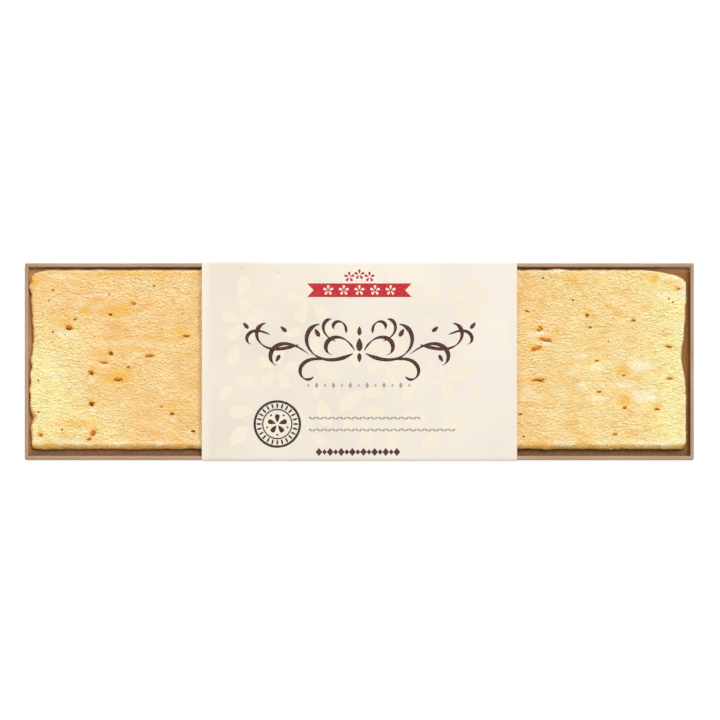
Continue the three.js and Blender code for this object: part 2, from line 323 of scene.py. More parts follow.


# %% [markdown]
# The real tray is one flat blank. Its walls are folded up and then over on themselves, so each wall is two
# cards thick and its rim is a fold, which catches the light. A cube brought to the tray's outer size does
# for the blank: its top is inset by the wall's thickness and pushed down to the floor. Bevels then turn
# the rim into a soft fold and the corners into creases. Where the end walls meet the long ones, a fine
# joint is cut in from outside, because there the long wall's card ends. The faces inside get the liner,
# which is the paler colour that the board has on that side, with painted light and shade in the gaps.

# %% Tray
TRAY_WALL = 1.2 * MM
TRAY_FLOOR = 1.0 * MM
RIM_FOLD = 0.35 * MM
CORNER_CREASE = 0.4 * MM
JOINT_WIDTH = 0.16 * MM
JOINT_DEPTH = 0.25 * MM
NEAR = 0.02 * MM

tray = start_box("kraft_tray", tray_low, tray_high)
pick(tray, "FACE", lambda middle, normal: normal.z > 0.9)
bpy.ops.mesh.inset(thickness=TRAY_WALL)
down_to_floor = Vector((0, 0, tray_low.z + TRAY_FLOOR - tray_high.z))
bpy.ops.mesh.extrude_region_move(TRANSFORM_OT_translate={"value": down_to_floor})
pick(tray, "EDGE", lambda middle, direction: middle.z > tray_high.z - NEAR
     and max(abs(direction.x), abs(direction.y)) > 0.99)
bpy.ops.mesh.bevel(offset=RIM_FOLD, segments=3)
pick(tray, "EDGE", lambda middle, direction: abs(direction.z) > 0.9 and abs(middle.x) > tray_high.x - NEAR)
bpy.ops.mesh.bevel(offset=CORNER_CREASE, segments=3)
bpy.ops.object.mode_set(mode="OBJECT")

for side in (-1, 1):
    joint_line = side * (tray_high.y - TRAY_WALL / 2)
    for offset in (-JOINT_WIDTH, 0, JOINT_WIDTH):
        bpy.ops.object.mode_set(mode="EDIT")
        bpy.ops.mesh.select_all(action="SELECT")
        bpy.ops.mesh.bisect(plane_co=(0, joint_line + offset, 0), plane_no=(0, 1, 0))
        bpy.ops.object.mode_set(mode="OBJECT")
    for point in tray.data.vertices:
        on_line = abs(point.co.y - joint_line) < NEAR
        if on_line and abs(point.co.x) > tray_high.x - NEAR:
            point.co.x -= math.copysign(JOINT_DEPTH, point.co.x)

liner_high = tray_high - Vector((TRAY_WALL, TRAY_WALL, RIM_FOLD)) + Vector((NEAR, NEAR, 0))
for face in tray.data.polygons:
    x, y, z = face.center
    inside = abs(x) < liner_high.x and abs(y) < liner_high.y and z < liner_high.z
    face.material_index = int(inside and z > tray_low.z + NEAR)

make_active(tray)
bpy.ops.object.shade_smooth_by_angle(angle=math.radians(35))
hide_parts("tray")
finish_piece(tray, "kraft_card", kraft_card, kraft_liner)

# %% [markdown]
# The nougat is a paste of ground toasted almonds, honey and sugar, poured and pressed into a block. From
# above it is a plain long rectangle, but nothing on it is straight: two corners are worn well round, one
# end has a chip and the other a dent, and the side nearest the viewer has a broken shoulder. The sizes of
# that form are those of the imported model, so the fine block fills the solid it stands for.

# %% Sizes of the block
BLOCK_LENGTH = 220.2 * MM
BLOCK_WIDTH = 60.2 * MM
BLOCK_HEIGHT = 15 * MM
BLOCK_MIDDLE = (-0.25 * MM, 0.7 * MM)
BLOCK_EDGE = 0.6 * MM
SHOULDER_HEIGHT = 2.2 * MM
SHOULDER_DEPTH = 1.1 * MM
CHIP_HEIGHT = 3.0 * MM
# Middle, half width and depth of each hollow in millimetres. A depth below 0 lets the side out.
CHIP = (-19.7, 1.8, 1.1)
WEST_HOLLOWS = [(12, 9, 0.7), (-10.5, 5, -0.35), (27, 1.7, -0.9)]
EAST_HOLLOWS = [(3.5, 8, 1.5), (16, 6, 0.4)]
# The lip of the far side, the same way, but let out.
NORTH_LIP = (67, 2.5, 0.35)
# How far each corner's wear reaches along the side, and how deep it is.
SOUTH_WEST_WEAR = (1.8 * MM, 0.8 * MM)
SOUTH_EAST_WEAR = (2.5 * MM, 1.6 * MM)
NORTH_WEST_WEAR = (8.0 * MM, 2.5 * MM)
NORTH_EAST_WEAR = (17.8 * MM, 4.9 * MM)
WEST_LIMIT = tray_low.x + TRAY_WALL + 0.15 * MM
WEST = BLOCK_MIDDLE[0] - BLOCK_LENGTH / 2
EAST = BLOCK_MIDDLE[0] + BLOCK_LENGTH / 2
SOUTH = BLOCK_MIDDLE[1] - BLOCK_WIDTH / 2
NORTH = BLOCK_MIDDLE[1] + BLOCK_WIDTH / 2
FOOT = block_low.z
TOP = FOOT + BLOCK_HEIGHT
print("block from", round(WEST / MM, 1), "to", round(EAST / MM, 1), "mm along the tray")

# %% [markdown]
# Each side is a line that one of these functions gives. The long sides are taken in at their ends by a
# quarter of an ellipse, which is a worn corner, and smooth hollows take the sides in or let them out. The
# chip is deepest near the top, and the near side leans back over the height of its broken shoulder.

# %% Lines of the sides
def corner_wear(distance, reach, depth):
    """How far a worn corner takes the side in, at a distance from the block's end."""
    share = np.clip(1 - distance / reach, 0, 1)
    return depth * (1 - np.sqrt(1 - share * share))


def hollow(value, middle, half_width, depth):
    """How far a smooth local hollow takes a side in."""
    return depth * MM * np.exp(-((value - middle * MM) / (half_width * MM)) ** 2)


def west_side(y, z):
    chipped = 0.4 + 0.6 * np.clip(2 - 2 * (TOP - z) / CHIP_HEIGHT, 0, 1)
    return WEST + chipped * hollow(y, *CHIP) + sum(hollow(y, *row) for row in WEST_HOLLOWS)


def east_side(y):
    return EAST - sum(hollow(y, *row) for row in EAST_HOLLOWS)


def south_side(x, z):
    wear = corner_wear(x - WEST, *SOUTH_WEST_WEAR) + corner_wear(EAST - x, *SOUTH_EAST_WEAR)
    share = np.clip(1 - (TOP - z) / SHOULDER_HEIGHT, 0, 1)
    return SOUTH + SHOULDER_DEPTH * share ** 1.3 + wear


def north_side(x):
    wear = corner_wear(x - WEST, *NORTH_WEST_WEAR) + corner_wear(EAST - x, *NORTH_EAST_WEAR)
    return NORTH - wear + hollow(x, *NORTH_LIP)


print("the right corner at the far side is worn in", round(NORTH_EAST_WEAR[1] / MM, 1), "mm")

# %% [markdown]
# A cube is brought to the block's size and cut across where the sleeve hides it. The two ends that show
# are divided finely enough to carry the grain, and the hidden middle and the sides more coarsely. The
# flat underside lies on the card and needs no more than one face.

# %% Divide the block
HIDDEN_HALF = sleeve_high.x - 3 * MM
FINE_STEP = 0.36 * MM
HIDDEN_STEP = 4 * MM
SIDE_STEP = 1.0 * MM

block = start_box("nougat_block_fine", (WEST, SOUTH, FOOT), (EAST, NORTH, TOP))
for cut in (-HIDDEN_HALF, HIDDEN_HALF):
    bpy.ops.mesh.select_all(action="SELECT")
    bpy.ops.mesh.bisect(plane_co=(cut, 0, 0), plane_no=(1, 0, 0))


def divide(test, length, step):
    pick(block, "EDGE", test)
    bpy.ops.mesh.subdivide(number_cuts=round(length / step) - 1)


divide(lambda at, way: abs(way.x) > 0.9 and abs(at.x) < HIDDEN_HALF, 2 * HIDDEN_HALF, HIDDEN_STEP)
divide(lambda at, way: abs(way.x) > 0.9 and abs(at.x) > HIDDEN_HALF, EAST - HIDDEN_HALF, FINE_STEP)
divide(lambda at, way: abs(way.y) > 0.9, BLOCK_WIDTH, FINE_STEP)
divide(lambda at, way: abs(way.z) > 0.9, BLOCK_HEIGHT, SIDE_STEP)
pick(block, "FACE", lambda middle, normal: normal.z < -0.9)
bpy.ops.mesh.dissolve_faces()
bpy.ops.object.mode_set(mode="OBJECT")
print("block divided into", len(block.data.polygons), "faces")

# %% [markdown]
# A mesh's points are read and written as one array, which is far quicker than one by one. Smooth noise from
# Blender's own library serves wherever something is uneven. Its layer number picks another slice of the
# noise for each use.

# %% Points and unevenness
def get_points(piece):
    flat = np.empty(3 * len(piece.data.vertices), np.float32)
    piece.data.vertices.foreach_get("co", flat)
    return flat.reshape(-1, 3).astype(float)


def set_points(piece, points):
    piece.data.vertices.foreach_set("co", points.astype(np.float32).ravel())
    piece.data.update()


def unevenness(across, along, swell, layer):
    """Slow random unevenness of about plus or minus one, at each point."""
    return np.array([1.6 * noise.noise(Vector((a / swell, b / swell, layer)))
                     for a, b in zip(across, along)])


# %% [markdown]
# Then the straight box is bent: first its edges are rounded, then each of its sides is moved to the line
# that the functions above give. Bending by formula is quicker and truer here than pulling corners by hand,
# and the same few sizes describe the whole outline. Slow swells, short ripples and bites keep the sides and
# the top from looking planed.

# %% Bend the block
# Width and height of each kind of unevenness.
SIDE_SWELL = (5 * MM, 0.15 * MM)
SIDE_RIPPLE = (1.7 * MM, 0.09 * MM)
SIDE_BITE = (3.2 * MM, 0.3 * MM)
TOP_SWELL = (9 * MM, 0.22 * MM)


def soften_edges(points):
    """Rounds the upright and the upper edges of the box."""
    core = np.stack([np.clip(points[:, 0], WEST + BLOCK_EDGE, EAST - BLOCK_EDGE),
                     np.clip(points[:, 1], SOUTH + BLOCK_EDGE, NORTH - BLOCK_EDGE),
                     np.minimum(points[:, 2], TOP - BLOCK_EDGE)], axis=1)
    out = points - core
    reach = np.abs(out).max(axis=1, keepdims=True)
    length = np.maximum(np.linalg.norm(out, axis=1, keepdims=True), 1e-9)
    return core + out * reach / length


def side_relief(along, z, layer, bite=0.0):
    """Unevenness of a side: slow swells, short ripples and, where the paste crumbled, bites."""
    slow = SIDE_SWELL[1] * unevenness(along, z, SIDE_SWELL[0], layer)
    short = SIDE_RIPPLE[1] * unevenness(along, z, SIDE_RIPPLE[0], layer + 10)
    return slow + short + bite * unevenness(along, z / 3, SIDE_BITE[0], layer + 20)


def top_relief(x, y):
    return TOP_SWELL[1] * unevenness(x, y, TOP_SWELL[0], 5)


def bend_sides(points):
    """Moves the four sides to their real lines and lays slow swells on the top."""
    x, y, z = points.T
    height = np.clip((z - FOOT) / BLOCK_HEIGHT, 0, 1)
    west = np.maximum(west_side(y, z) + side_relief(y, z, 1, SIDE_BITE[1]), WEST_LIMIT)
    east = east_side(y) + side_relief(y, z, 2)
    south = south_side(x, z) + side_relief(x, z, 3)
    north = north_side(x) + side_relief(x, z, 4)
    moved = np.empty_like(points)
    moved[:, 0] = west + (x - WEST) / BLOCK_LENGTH * (east - west)
    moved[:, 1] = south + (y - SOUTH) / BLOCK_WIDTH * (north - south)
    moved[:, 2] = z + height * top_relief(x, y)
    return moved


set_points(block, bend_sides(soften_edges(get_points(block))))
print("block", [round(size / MM, 1) for size in block.dimensions], "mm,", len(block.data.polygons), "faces")

# %% [markdown]
# The knife and the mould drag the paste along the block, so its fine relief is a grain of little waves
# that are about twice as long as they are wide. Displace modifiers lay it on: a noise of their own
# is read in the space of an empty that is stretched along the block, which stretches the pattern too.
# A rounder noise adds the soft lumps of ground almond under the skin, and a finer one the crumb. At its
# foot the block is flat again, because it lies on the card there.

# %% Grain of the paste
FLAT_FOOT = 0.3 * MM
GRAIN_PAST_LIMIT = 0.1 * MM


def displace(piece, name, kind, size, depth, stretch=1.0, **settings):
    """Moves the surface along its normals by a noise, and applies the change."""
    texture = bpy.data.textures.new(name, kind)
    texture.noise_scale = size
    for key, value in settings.items():
        setattr(texture, key, value)
    space = bpy.data.objects.new(name + "_space", None)
    bpy.context.scene.collection.objects.link(space)
    space.scale = (stretch, 1, 1)
    bpy.context.view_layer.update()
    make_active(piece)
    modifier = piece.modifiers.new(name, "DISPLACE")
    modifier.texture = texture
    modifier.texture_coords = "OBJECT"
    modifier.texture_coords_object = space
    modifier.strength = depth
    modifier.mid_level = 0.5
    bpy.ops.object.modifier_apply(modifier=name)
    bpy.data.objects.remove(space)
    bpy.data.textures.remove(texture)


displace(block, "almond_lumps", "CLOUDS", 3.0 * MM, 0.24 * MM, noise_depth=1)
displace(block, "dragged_grain", "STUCCI", 1.0 * MM, 0.26 * MM, stretch=1.8, turbulence=3)
displace(block, "fine_grain", "CLOUDS", 0.8 * MM, 0.24 * MM, stretch=1.3, noise_depth=2)
skin = get_points(block)
skin[:, 2] = np.where(skin[:, 2] < FOOT + FLAT_FOOT, FOOT, skin[:, 2])
skin[:, 0] = np.maximum(skin[:, 0], WEST_LIMIT - GRAIN_PAST_LIMIT)
set_points(block, skin)
print("highest grain", round((skin[:, 2].max() - TOP) / MM, 2), "mm above the plain top")

# %% [markdown]
# The pores are bubbles of air and gaps round bits of almond, torn open where the block was levelled. Those
# that stand out are listed one by one, and small ones are strewn over the whole top by a seeded rule. Slits
# are where a sliver of almond was dragged out, and scratches are the lines the knife left.

# %% Pores
# Of each pore: its middle along and across the block, its length, its width and its turn.
# Millimetres and degrees.
PITS = [
    (-97.7, 11.3, 2.4, 1.8, 0), (-90.1, -3.9, 1.8, 1.7, -30), (-90.1, -14.3, 2.0, 1.7, -40),
    (-81.2, -6.1, 3.4, 1.2, 5), (-58.3, 8.5, 2.4, 1.0, -5), (-89.7, -24.2, 2.4, 1.5, 55),
    (-107.2, -24.8, 1.7, 1.3, 0), (-83.5, 2.7, 1.7, 1.2, -45), (-85.9, -0.4, 2.7, 0.8, -5),
    (-76.1, 19.4, 2.0, 1.0, -35), (-63.0, -17.6, 1.5, 1.3, 0), (-90.9, -26.2, 1.8, 1.0, 10),
    (107.4, 24.4, 1.2, 0.6, 0), (92.2, 13.8, 1.5, 1.0, 0), (76.6, 15.5, 1.3, 1.3, 0),
    (103.8, 4.9, 2.7, 0.8, -8), (104.5, -5.8, 2.7, 0.8, -3), (86.0, -24.5, 1.7, 0.9, 0),
    (60.2, 10.5, 1.7, 1.0, -30), (89.2, -15.6, 1.5, 1.1, 10), (100.1, -16.1, 1.7, 0.9, -15),
]
SLITS = [
    (62.6, 7.3, 4.6, 1.3, -12), (59.6, 4.4, 4.2, 1.3, 15), (60.2, -6.2, 4.8, 1.1, 8),
    (-70.6, 1.9, 3.6, 1.0, 4), (61.0, 11.4, 2.6, 0.7, -40),
]
SMALL_PITS = [
    (-103.1, 23.9, 1.1, 0.9, -30), (-104.5, 20.4, 0.8, 0.7, 0), (-84.1, 22.5, 0.9, 0.7, 30),
    (-69.1, 25.4, 0.9, 0.8, 0), (-83.7, 15.7, 1.5, 0.9, 0), (-95.6, 14.1, 1.5, 0.8, 20),
    (-103.1, 9.9, 1.0, 0.7, -20), (-77.7, -1.9, 1.5, 0.8, 20), (-108.0, -6.5, 0.9, 0.8, 0),
    (-107.9, -17.1, 0.9, 0.8, 0), (-100.0, -23.0, 0.9, 0.8, 0), (-55.9, -23.5, 1.7, 0.9, -10),
    (-66.6, -15.3, 1.3, 0.7, 0), (61.7, 28.0, 1.0, 0.8, 0), (71.8, 20.6, 0.9, 0.8, 0),
    (77.6, 11.4, 1.5, 0.8, -5), (79.8, 0.2, 1.8, 0.8, 0), (80.6, -10.3, 1.8, 0.8, 5),
    (88.9, -4.8, 1.3, 0.7, 10), (54.2, -17.8, 1.7, 0.8, 10), (55.2, -25.3, 1.0, 0.8, 0),
    (56.4, 16.9, 2.0, 0.7, -20), (104.0, 21.1, 0.8, 0.7, 0), (105.4, 19.9, 0.8, 0.7, 0),
]
SCRATCHES = [(-90.2, 22.8, 14.5, 0.55, 3.5), (101.6, 15.0, 13.5, 0.55, 0), (-99.0, -1.6, 9.0, 0.4, -4)]
STREWN_COUNT = 90
STREWN_CLEAR = 1.2
STREWN_LENGTH = (0.4, 0.75)
STREWN_ALONG = (WEST + 3 * MM, EAST - 3 * MM)
STREWN_ACROSS = (SOUTH + 4 * MM, NORTH - 5 * MM)
pore_draw = random.Random(7)


def strewn_pits(taken):
    """Tiny pores over the whole top, clear of the ones before them. Sizes in millimetres."""
    found = []
    while len(found) < STREWN_COUNT:
        x = pore_draw.uniform(*STREWN_ALONG) / MM
        y = pore_draw.uniform(*STREWN_ACROSS) / MM
        length = pore_draw.uniform(*STREWN_LENGTH)
        near = min(math.hypot(x - pit[0], y - pit[1]) - pit[2] / 2 for pit in taken + found)
        if near > STREWN_CLEAR:
            found.append((x, y, length, length * pore_draw.uniform(0.5, 0.8), pore_draw.uniform(-30, 30)))
    return found


strewn = strewn_pits(PITS + SMALL_PITS + SLITS)
print(len(PITS), "pits,", len(SLITS), "slits,", len(SMALL_PITS), "small and", len(strewn), "strewn pores")

# %% [markdown]
# The bubble that is cut out for a pore starts as an icosphere, whose points are spread evenly and have no
# poles. Smooth noise pushes them in and out, so that no pore is a plain ellipse. Four shapes, copied,
# stretched and turned, are enough for all of them. Each is modelled at a radius of one millimetre, so that
# the scale of a copy is its size.

# %% Bubbles
BUBBLE_SHAPES = 4


def bubble_shape(number, dent=0.3):
    """A dented icosphere of radius one millimetre. Each number gives another shape."""
    bpy.ops.object.select_all(action="DESELECT")
    bpy.ops.mesh.primitive_ico_sphere_add(subdivisions=2, radius=1 * MM)
    bubble = bpy.context.object
    smooth = get_points(bubble)
    dents = unevenness(smooth[:, 0], smooth[:, 1] + 3 * smooth[:, 2], 0.9 * MM, 40 + 3 * number)
    set_points(bubble, smooth * (1 + dent * dents[:, None]))
    return bubble


def place_copy(source, x, y, z, size, turn, tilt=0.0):
    """A copy with its own mesh, sized along its three axes and set down in millimetres."""
    copy = source.copy()
    copy.data = source.data.copy()
    bpy.context.scene.collection.objects.link(copy)
    copy.scale = size
    copy.rotation_euler = (math.radians(tilt), 0, math.radians(turn))
    copy.location = (x * MM, y * MM, z * MM)
    return copy


def surface_height(x, y):
    """Height of the block's top in millimetres, without its fine grain."""
    return (TOP + top_relief([x * MM], [y * MM])[0]) / MM


def place_bubble(pore, depth, shift=(0, 0), size=(1, 1), turn=0.0):
    """One bubble of a pore, sunk to a depth. Its shift and size are shares of the pore's own."""
    x, y, length, width, turned = pore
    x += shift[0] * length
    y += shift[1] * width
    half = (size[0] * length / 2, size[1] * width / 2, depth)
    return place_copy(pore_draw.choice(bubbles), x, y, surface_height(x, y), half, turned + turn)


bubbles = [bubble_shape(number) for number in range(BUBBLE_SHAPES)]
print(len(bubbles), "bubbles of", len(bubbles[0].data.polygons), "faces")

# %% [markdown]
# A torn pit is a shallow scoop, a deeper throat towards the viewer and two small tears across its edge. A
# slit is a shallow scoop and some thin deep spikes that fan out. Bubbles that overlap must not be in one
# cutter, because the Boolean takes a cutter for one clean solid. So the cutters go in layers, with one
# bubble of each pore in a layer. A cutter brings its own material along, which makes a pore darker inside.

# %% Layers of cutters
PORE_TEARS = 2
SPIKES = 4
SPIKE_WIDTH = 0.3
SPIKE_DEPTH = 0.55
TEAR_DEPTH = 0.35
SCRATCH_DEPTH = 0.25
# Depths with a fixed part in millimetres and a share of the pore's width.
SCOOP_DEPTH = (0.12, 0.3)
THROAT_DEPTH = (0.3, 0.45)
SMALL_DEPTH = (0.2, 0.45)
STREWN_DEPTH = (0, 0.5)


def depth_of(pore, depth):
    return depth[0] + depth[1] * pore[3]


def spike(slit):
    """One thin deep bubble of a slit, leaning away from the slit's own line."""
    size = (pore_draw.uniform(0.6, 1.0), SPIKE_WIDTH / slit[3])
    shift = (pore_draw.uniform(-0.12, 0.12), pore_draw.uniform(-0.35, 0.1))
    return place_bubble(slit, SPIKE_DEPTH, shift, size, pore_draw.uniform(-24, 24))


def tear(pit):
    """One small bubble somewhere on a pit's edge."""
    side = pore_draw.choice((-1, 1))
    shift = (side * pore_draw.uniform(0.3, 0.45), pore_draw.uniform(-0.3, 0.3))
    return place_bubble(pit, TEAR_DEPTH, shift, (0.5, 0.4), pore_draw.uniform(-35, 35))


layers = [[place_bubble(scratch, SCRATCH_DEPTH) for scratch in SCRATCHES]]
layers.append([place_bubble(pore, depth_of(pore, SCOOP_DEPTH)) for pore in PITS + SLITS]
              + [place_bubble(pore, depth_of(pore, SMALL_DEPTH)) for pore in SMALL_PITS]
              + [place_bubble(pore, depth_of(pore, STREWN_DEPTH)) for pore in strewn])
layers.append([place_bubble(pit, depth_of(pit, THROAT_DEPTH), (0.05, -0.2), (0.55, 0.5)) for pit in PITS])
layers += [[tear(pit) for pit in PITS] for number in range(PORE_TEARS)]
layers += [[spike(slit) for slit in SLITS] for number in range(SPIKES)]
cutters = [join(f"pore_cutter_{number}", layer) for number, layer in enumerate(layers)]
for bubble in bubbles:
    bpy.data.objects.remove(bubble)
print(sum(len(layer) for layer in layers), "bubbles in", len(cutters), "cutters")

# %% [markdown]
# The paste itself is golden cream, and paler and more straw yellow towards the ends. Where the almond oil
# has come out it is amber, and where sugar or pale almond lies at the surface it is nearly white; some of
# the pale patches are painted highlights. Those patches follow the block and not a pattern, so each point
# of the mesh stores how straw yellow, how amber and how pale it is, and the shader reads the three as
# attributes. The grain is a noise of under a millimetre, drawn out along the block. It is read twice, a
# short step apart across the block, and the difference is the slope of its little waves. Light and shade
# are painted on those slopes: amber shade on the ones that face the viewer, and pale highlight on the ones
# that face away, towards the lamps.

# %% Paste
CLOUD_SIZE = 13 * MM
STREAK_SIZE = 3.2 * MM
GRAIN_SIZE = 0.65 * MM
GRAIN_STEP = 0.22 * MM
GRIT_SIZE = 0.45 * MM
FLECK_SPACING = 2.6 * MM

nougat_paste, tree, shader, coords = start_material("pressed_almond_paste", "#f2cc84", 0.6, 0.3)
drawn_out = add_node(tree, "Mapping", {"Vector": coords, "Scale": (0.6, 1.0, 1.0)})
beyond = add_node(tree, "Mapping", {"Vector": drawn_out, "Location": (0, GRAIN_STEP, 0)})
cloud = add_node(tree, "TexNoise", {"Vector": coords, "Scale": 1 / CLOUD_SIZE, "Detail": 3.0})
streak = add_node(tree, "TexNoise", {"Vector": drawn_out, "Scale": 1 / STREAK_SIZE, "Detail": 3.0,
                                     "Distortion": 0.4})
grain, grain_beyond = (add_node(tree, "TexNoise", {"Vector": space, "Scale": 1 / GRAIN_SIZE, "Detail": 3.0,
                                                   "Distortion": 0.6}) for space in (drawn_out, beyond))
slope_painted_light = add_node(tree, "Math", {"Value": grain}, operation="SUBTRACT")
tree.links.new(grain_beyond.outputs["Fac"], slope_painted_light.inputs[1])
grit_and_painted_shade = add_node(tree, "TexNoise", {"Vector": coords, "Scale": 1 / GRIT_SIZE, "Detail": 2.0})
fleck = add_node(tree, "TexVoronoi", {"Vector": drawn_out, "Scale": 1 / FLECK_SPACING})
straw, amber, pale = (add_node(tree, "Attribute", attribute_name=name).outputs["Fac"]
                      for name in ("straw", "amber", "pale"))
slope_painted_cover = add_node(tree, "MapRange", {"Value": cloud, "From Min": 0.35, "From Max": 0.65, "To Min": 0.25,
                                   "To Max": 0.55})
colour = lay_colours(tree, "#fbc97d", [
    (cloud, 0.34, 0.66, 1.0, "#ffd78e"),
    (straw, 0.0, 1.0, 1.0, "#fff8ae"),
    (streak, 0.5, 0.72, 0.45, "#fff0c4"),
    (streak, 0.45, 0.3, 0.5, "#f0b050"),
    # Painted shade on the grain's slopes that face the viewer, and painted highlight on those that face the
    # lamps.
    (slope_painted_light, -0.01, -0.12, slope_painted_cover, "#d08a22"),
    (slope_painted_light, 0.01, 0.12, slope_painted_cover, "#fff8d2"),
    # The grit's hollows are painted darker as shade and its crests paler as highlight; the same grit gives
    # the bump.
    (grit_and_painted_shade, 0.43, 0.25, 0.15, "#c98420"),
    (grit_and_painted_shade, 0.55, 0.75, 0.2, "#fff8d8"),
    (fleck, 0.09, 0.05, 0.25, "#a8761e"),
    (pale, 0.0, 1.0, 0.85, "#fff8d6"),
    (amber, 0.0, 0.9, 0.85, "#f9bf45"),
    (amber, 0.88, 1.0, 0.9, "#e09128"),
])
relief = add_node(tree, "Bump", {"Height": grain, "Distance": 0.65 * MM})
relief = add_node(tree, "Bump", {"Height": grit_and_painted_shade, "Distance": 0.35 * MM, "Normal": relief})
fill(shader, {"Base Color": colour, "Normal": relief, "Subsurface Weight": 0.1,
              "Subsurface Radius": (1.0, 0.6, 0.3), "Subsurface Scale": 0.8 * MM})
print(nougat_paste.name, "has", len(tree.nodes), "nodes")

# %% [markdown]
# Inside a pore the paste is torn and matt, and a browner orange. Below its rim it is painted darker, as
# shade that deepens the further down it goes; the shader reads the depth from the height in Object
# coordinates. The bits of toasted almond keep their thin skin, which is red brown with paler veins.

# %% Pore walls and toasted almond
PORE_SHADE_START = 0.2 * MM
PORE_SHADE_FULL = 0.85 * MM
PORE_PATCH = 5 * MM
SKIN_VEIN = 0.6 * MM

pore_wall, tree, shader, coords = start_material("torn_paste_in_pore_painted_shade", "#a8681f", 0.75, 0.2)
height = add_node(tree, "SeparateXYZ", {"Vector": coords}).outputs["Z"]
patch = add_node(tree, "TexNoise", {"Vector": coords, "Scale": 1 / PORE_PATCH, "Detail": 2.0})
shallow = lay_colours(tree, "#cf9038", [(patch, 0.35, 0.65, 1.0, "#e3a545")])
deep = lay_colours(tree, "#5a3c12", [(patch, 0.4, 0.6, 1.0, "#9a5a16")])
# Painted shade: the wall darkens from the pore's rim down to its throat.
walls = lay_colours(tree, shallow, [(height, TOP - PORE_SHADE_START, TOP - PORE_SHADE_FULL, 1.0, deep)])
fill(shader, {"Base Color": walls})

toasted_almond, tree, shader, coords = start_material("toasted_almond_skin", "#b2642a", 0.55, 0.35)
drawn_out = add_node(tree, "Mapping", {"Vector": coords, "Scale": (0.3, 1.0, 1.0)})
vein = add_node(tree, "TexNoise", {"Vector": drawn_out, "Scale": 1 / SKIN_VEIN, "Detail": 3.0})
relief = add_node(tree, "Bump", {"Height": vein, "Distance": 0.12 * MM})
fill(shader, {"Base Color": lay_colours(tree, "#bb5c1c", [(vein, 0.38, 0.62, 1.0, "#e8943a")]),
              "Normal": relief})
print("inside the pores:", pore_wall.name, "and", toasted_almond.name)

# %% [markdown]
# The block gets its paste first, and then each layer of cutters is taken from it in turn. The scratches
# come first and keep the paste's own colour, because nothing is torn there. The Manifold solver is the
# quickest, and it suits closed solids such as these.

# %% Cut the pores
def cut_out(piece, cutter, materials="INDEX"):
    """Takes the cutter's solids out of the piece. With TRANSFER they leave their own material behind."""
    make_active(piece)
    cut = piece.modifiers.new("cut_out", "BOOLEAN")
    cut.operation = "DIFFERENCE"
    cut.solver = "MANIFOLD"
    cut.material_mode = materials
    cut.object = cutter
    bpy.ops.object.modifier_apply(modifier="cut_out")
    bpy.data.objects.remove(cutter)


block.data.materials.append(nougat_paste)
for number, cutter in enumerate(cutters):
    cutter.data.materials.append(nougat_paste if number == 0 else pore_wall)
    cut_out(block, cutter, "TRANSFER")
bpy.ops.object.shade_smooth_by_angle(angle=math.radians(60))
print("block after its pores", len(block.data.polygons), "faces")

# %% [markdown]
# The patches of colour on the top are listed one by one too: straw yellow towards the ends, amber where
# oil came out, and pale where sugar or almond lies at the surface. The pale ones at the right end's far
# corner and along its top edge are painted highlights. A painted image would do as well, but a short
# table of soft spots stays sharp from close by and can be changed one row at a time.

# %% Straw, amber and pale patches
# Of each patch: its middle along and across the block, its half length, its half width and its strength.
STRAW_PATCHES = [
    (118.0, -2.0, 26.0, 90.0, 1.0), (84.0, -4.0, 22.0, 60.0, 0.35), (-109.0, -12.0, 15.0, 24.0, 0.9),
    (-96.0, -22.0, 17.0, 9.0, 0.5), (-101.0, 5.0, 11.0, 7.0, 0.5),
]
AMBER_PATCHES = [
    (-110.6, 27.0, 3.2, 2.2, 1.0), (-92.3, 17.4, 2.2, 1.0, 0.9), (-81.2, 16.8, 6.0, 2.6, 0.75),
    (-95.6, -21.0, 9.0, 1.4, 0.55), (-60.6, 10.4, 3.0, 1.3, 0.8), (-78.5, 4.5, 7.0, 1.0, 0.5),
    (-80.6, -5.4, 5.4, 2.8, 0.9), (-90.0, -26.4, 2.6, 1.6, 0.6), (71.5, 28.0, 2.8, 2.0, 0.7),
    (104.5, 26.8, 3.0, 1.0, 0.7), (88.6, -2.6, 2.6, 2.4, 0.85), (89.4, -13.2, 2.6, 2.2, 0.85),
    (100.1, -15.2, 1.8, 1.2, 0.8), (109.0, 15.7, 2.0, 1.0, 0.6), (-98.6, 13.6, 4.0, 2.0, 0.5),
    (-86.0, 2.5, 6.0, 1.0, 0.5), (-76.0, 29.3, 22.0, 0.9, 0.6), (-62.5, -14.9, 4.0, 1.0, 0.5),
    (-104.0, 8.0, 4.0, 0.8, 0.4), (-80.0, 8.0, 11.0, 1.0, 0.4), (56.0, 24.0, 5.0, 1.4, 0.4),
    (65.5, 9.6, 3.0, 1.4, 0.6), (-66.0, 7.4, 12.0, 1.0, 0.35), (96.0, 18.0, 2.0, 1.0, 0.5),
    (99.1, 27.6, 1.6, 1.7, 0.9), (107.0, 24.8, 1.5, 0.9, 0.9), (-104.0, -28.0, 3.4, 1.3, 0.7),
    (-74.5, -28.1, 6.0, 0.7, 0.85), (-59.0, -27.9, 5.0, 0.8, 0.85), (58.5, -27.5, 5.5, 1.1, 0.9),
    (75.2, -27.3, 2.6, 0.9, 0.9),
]
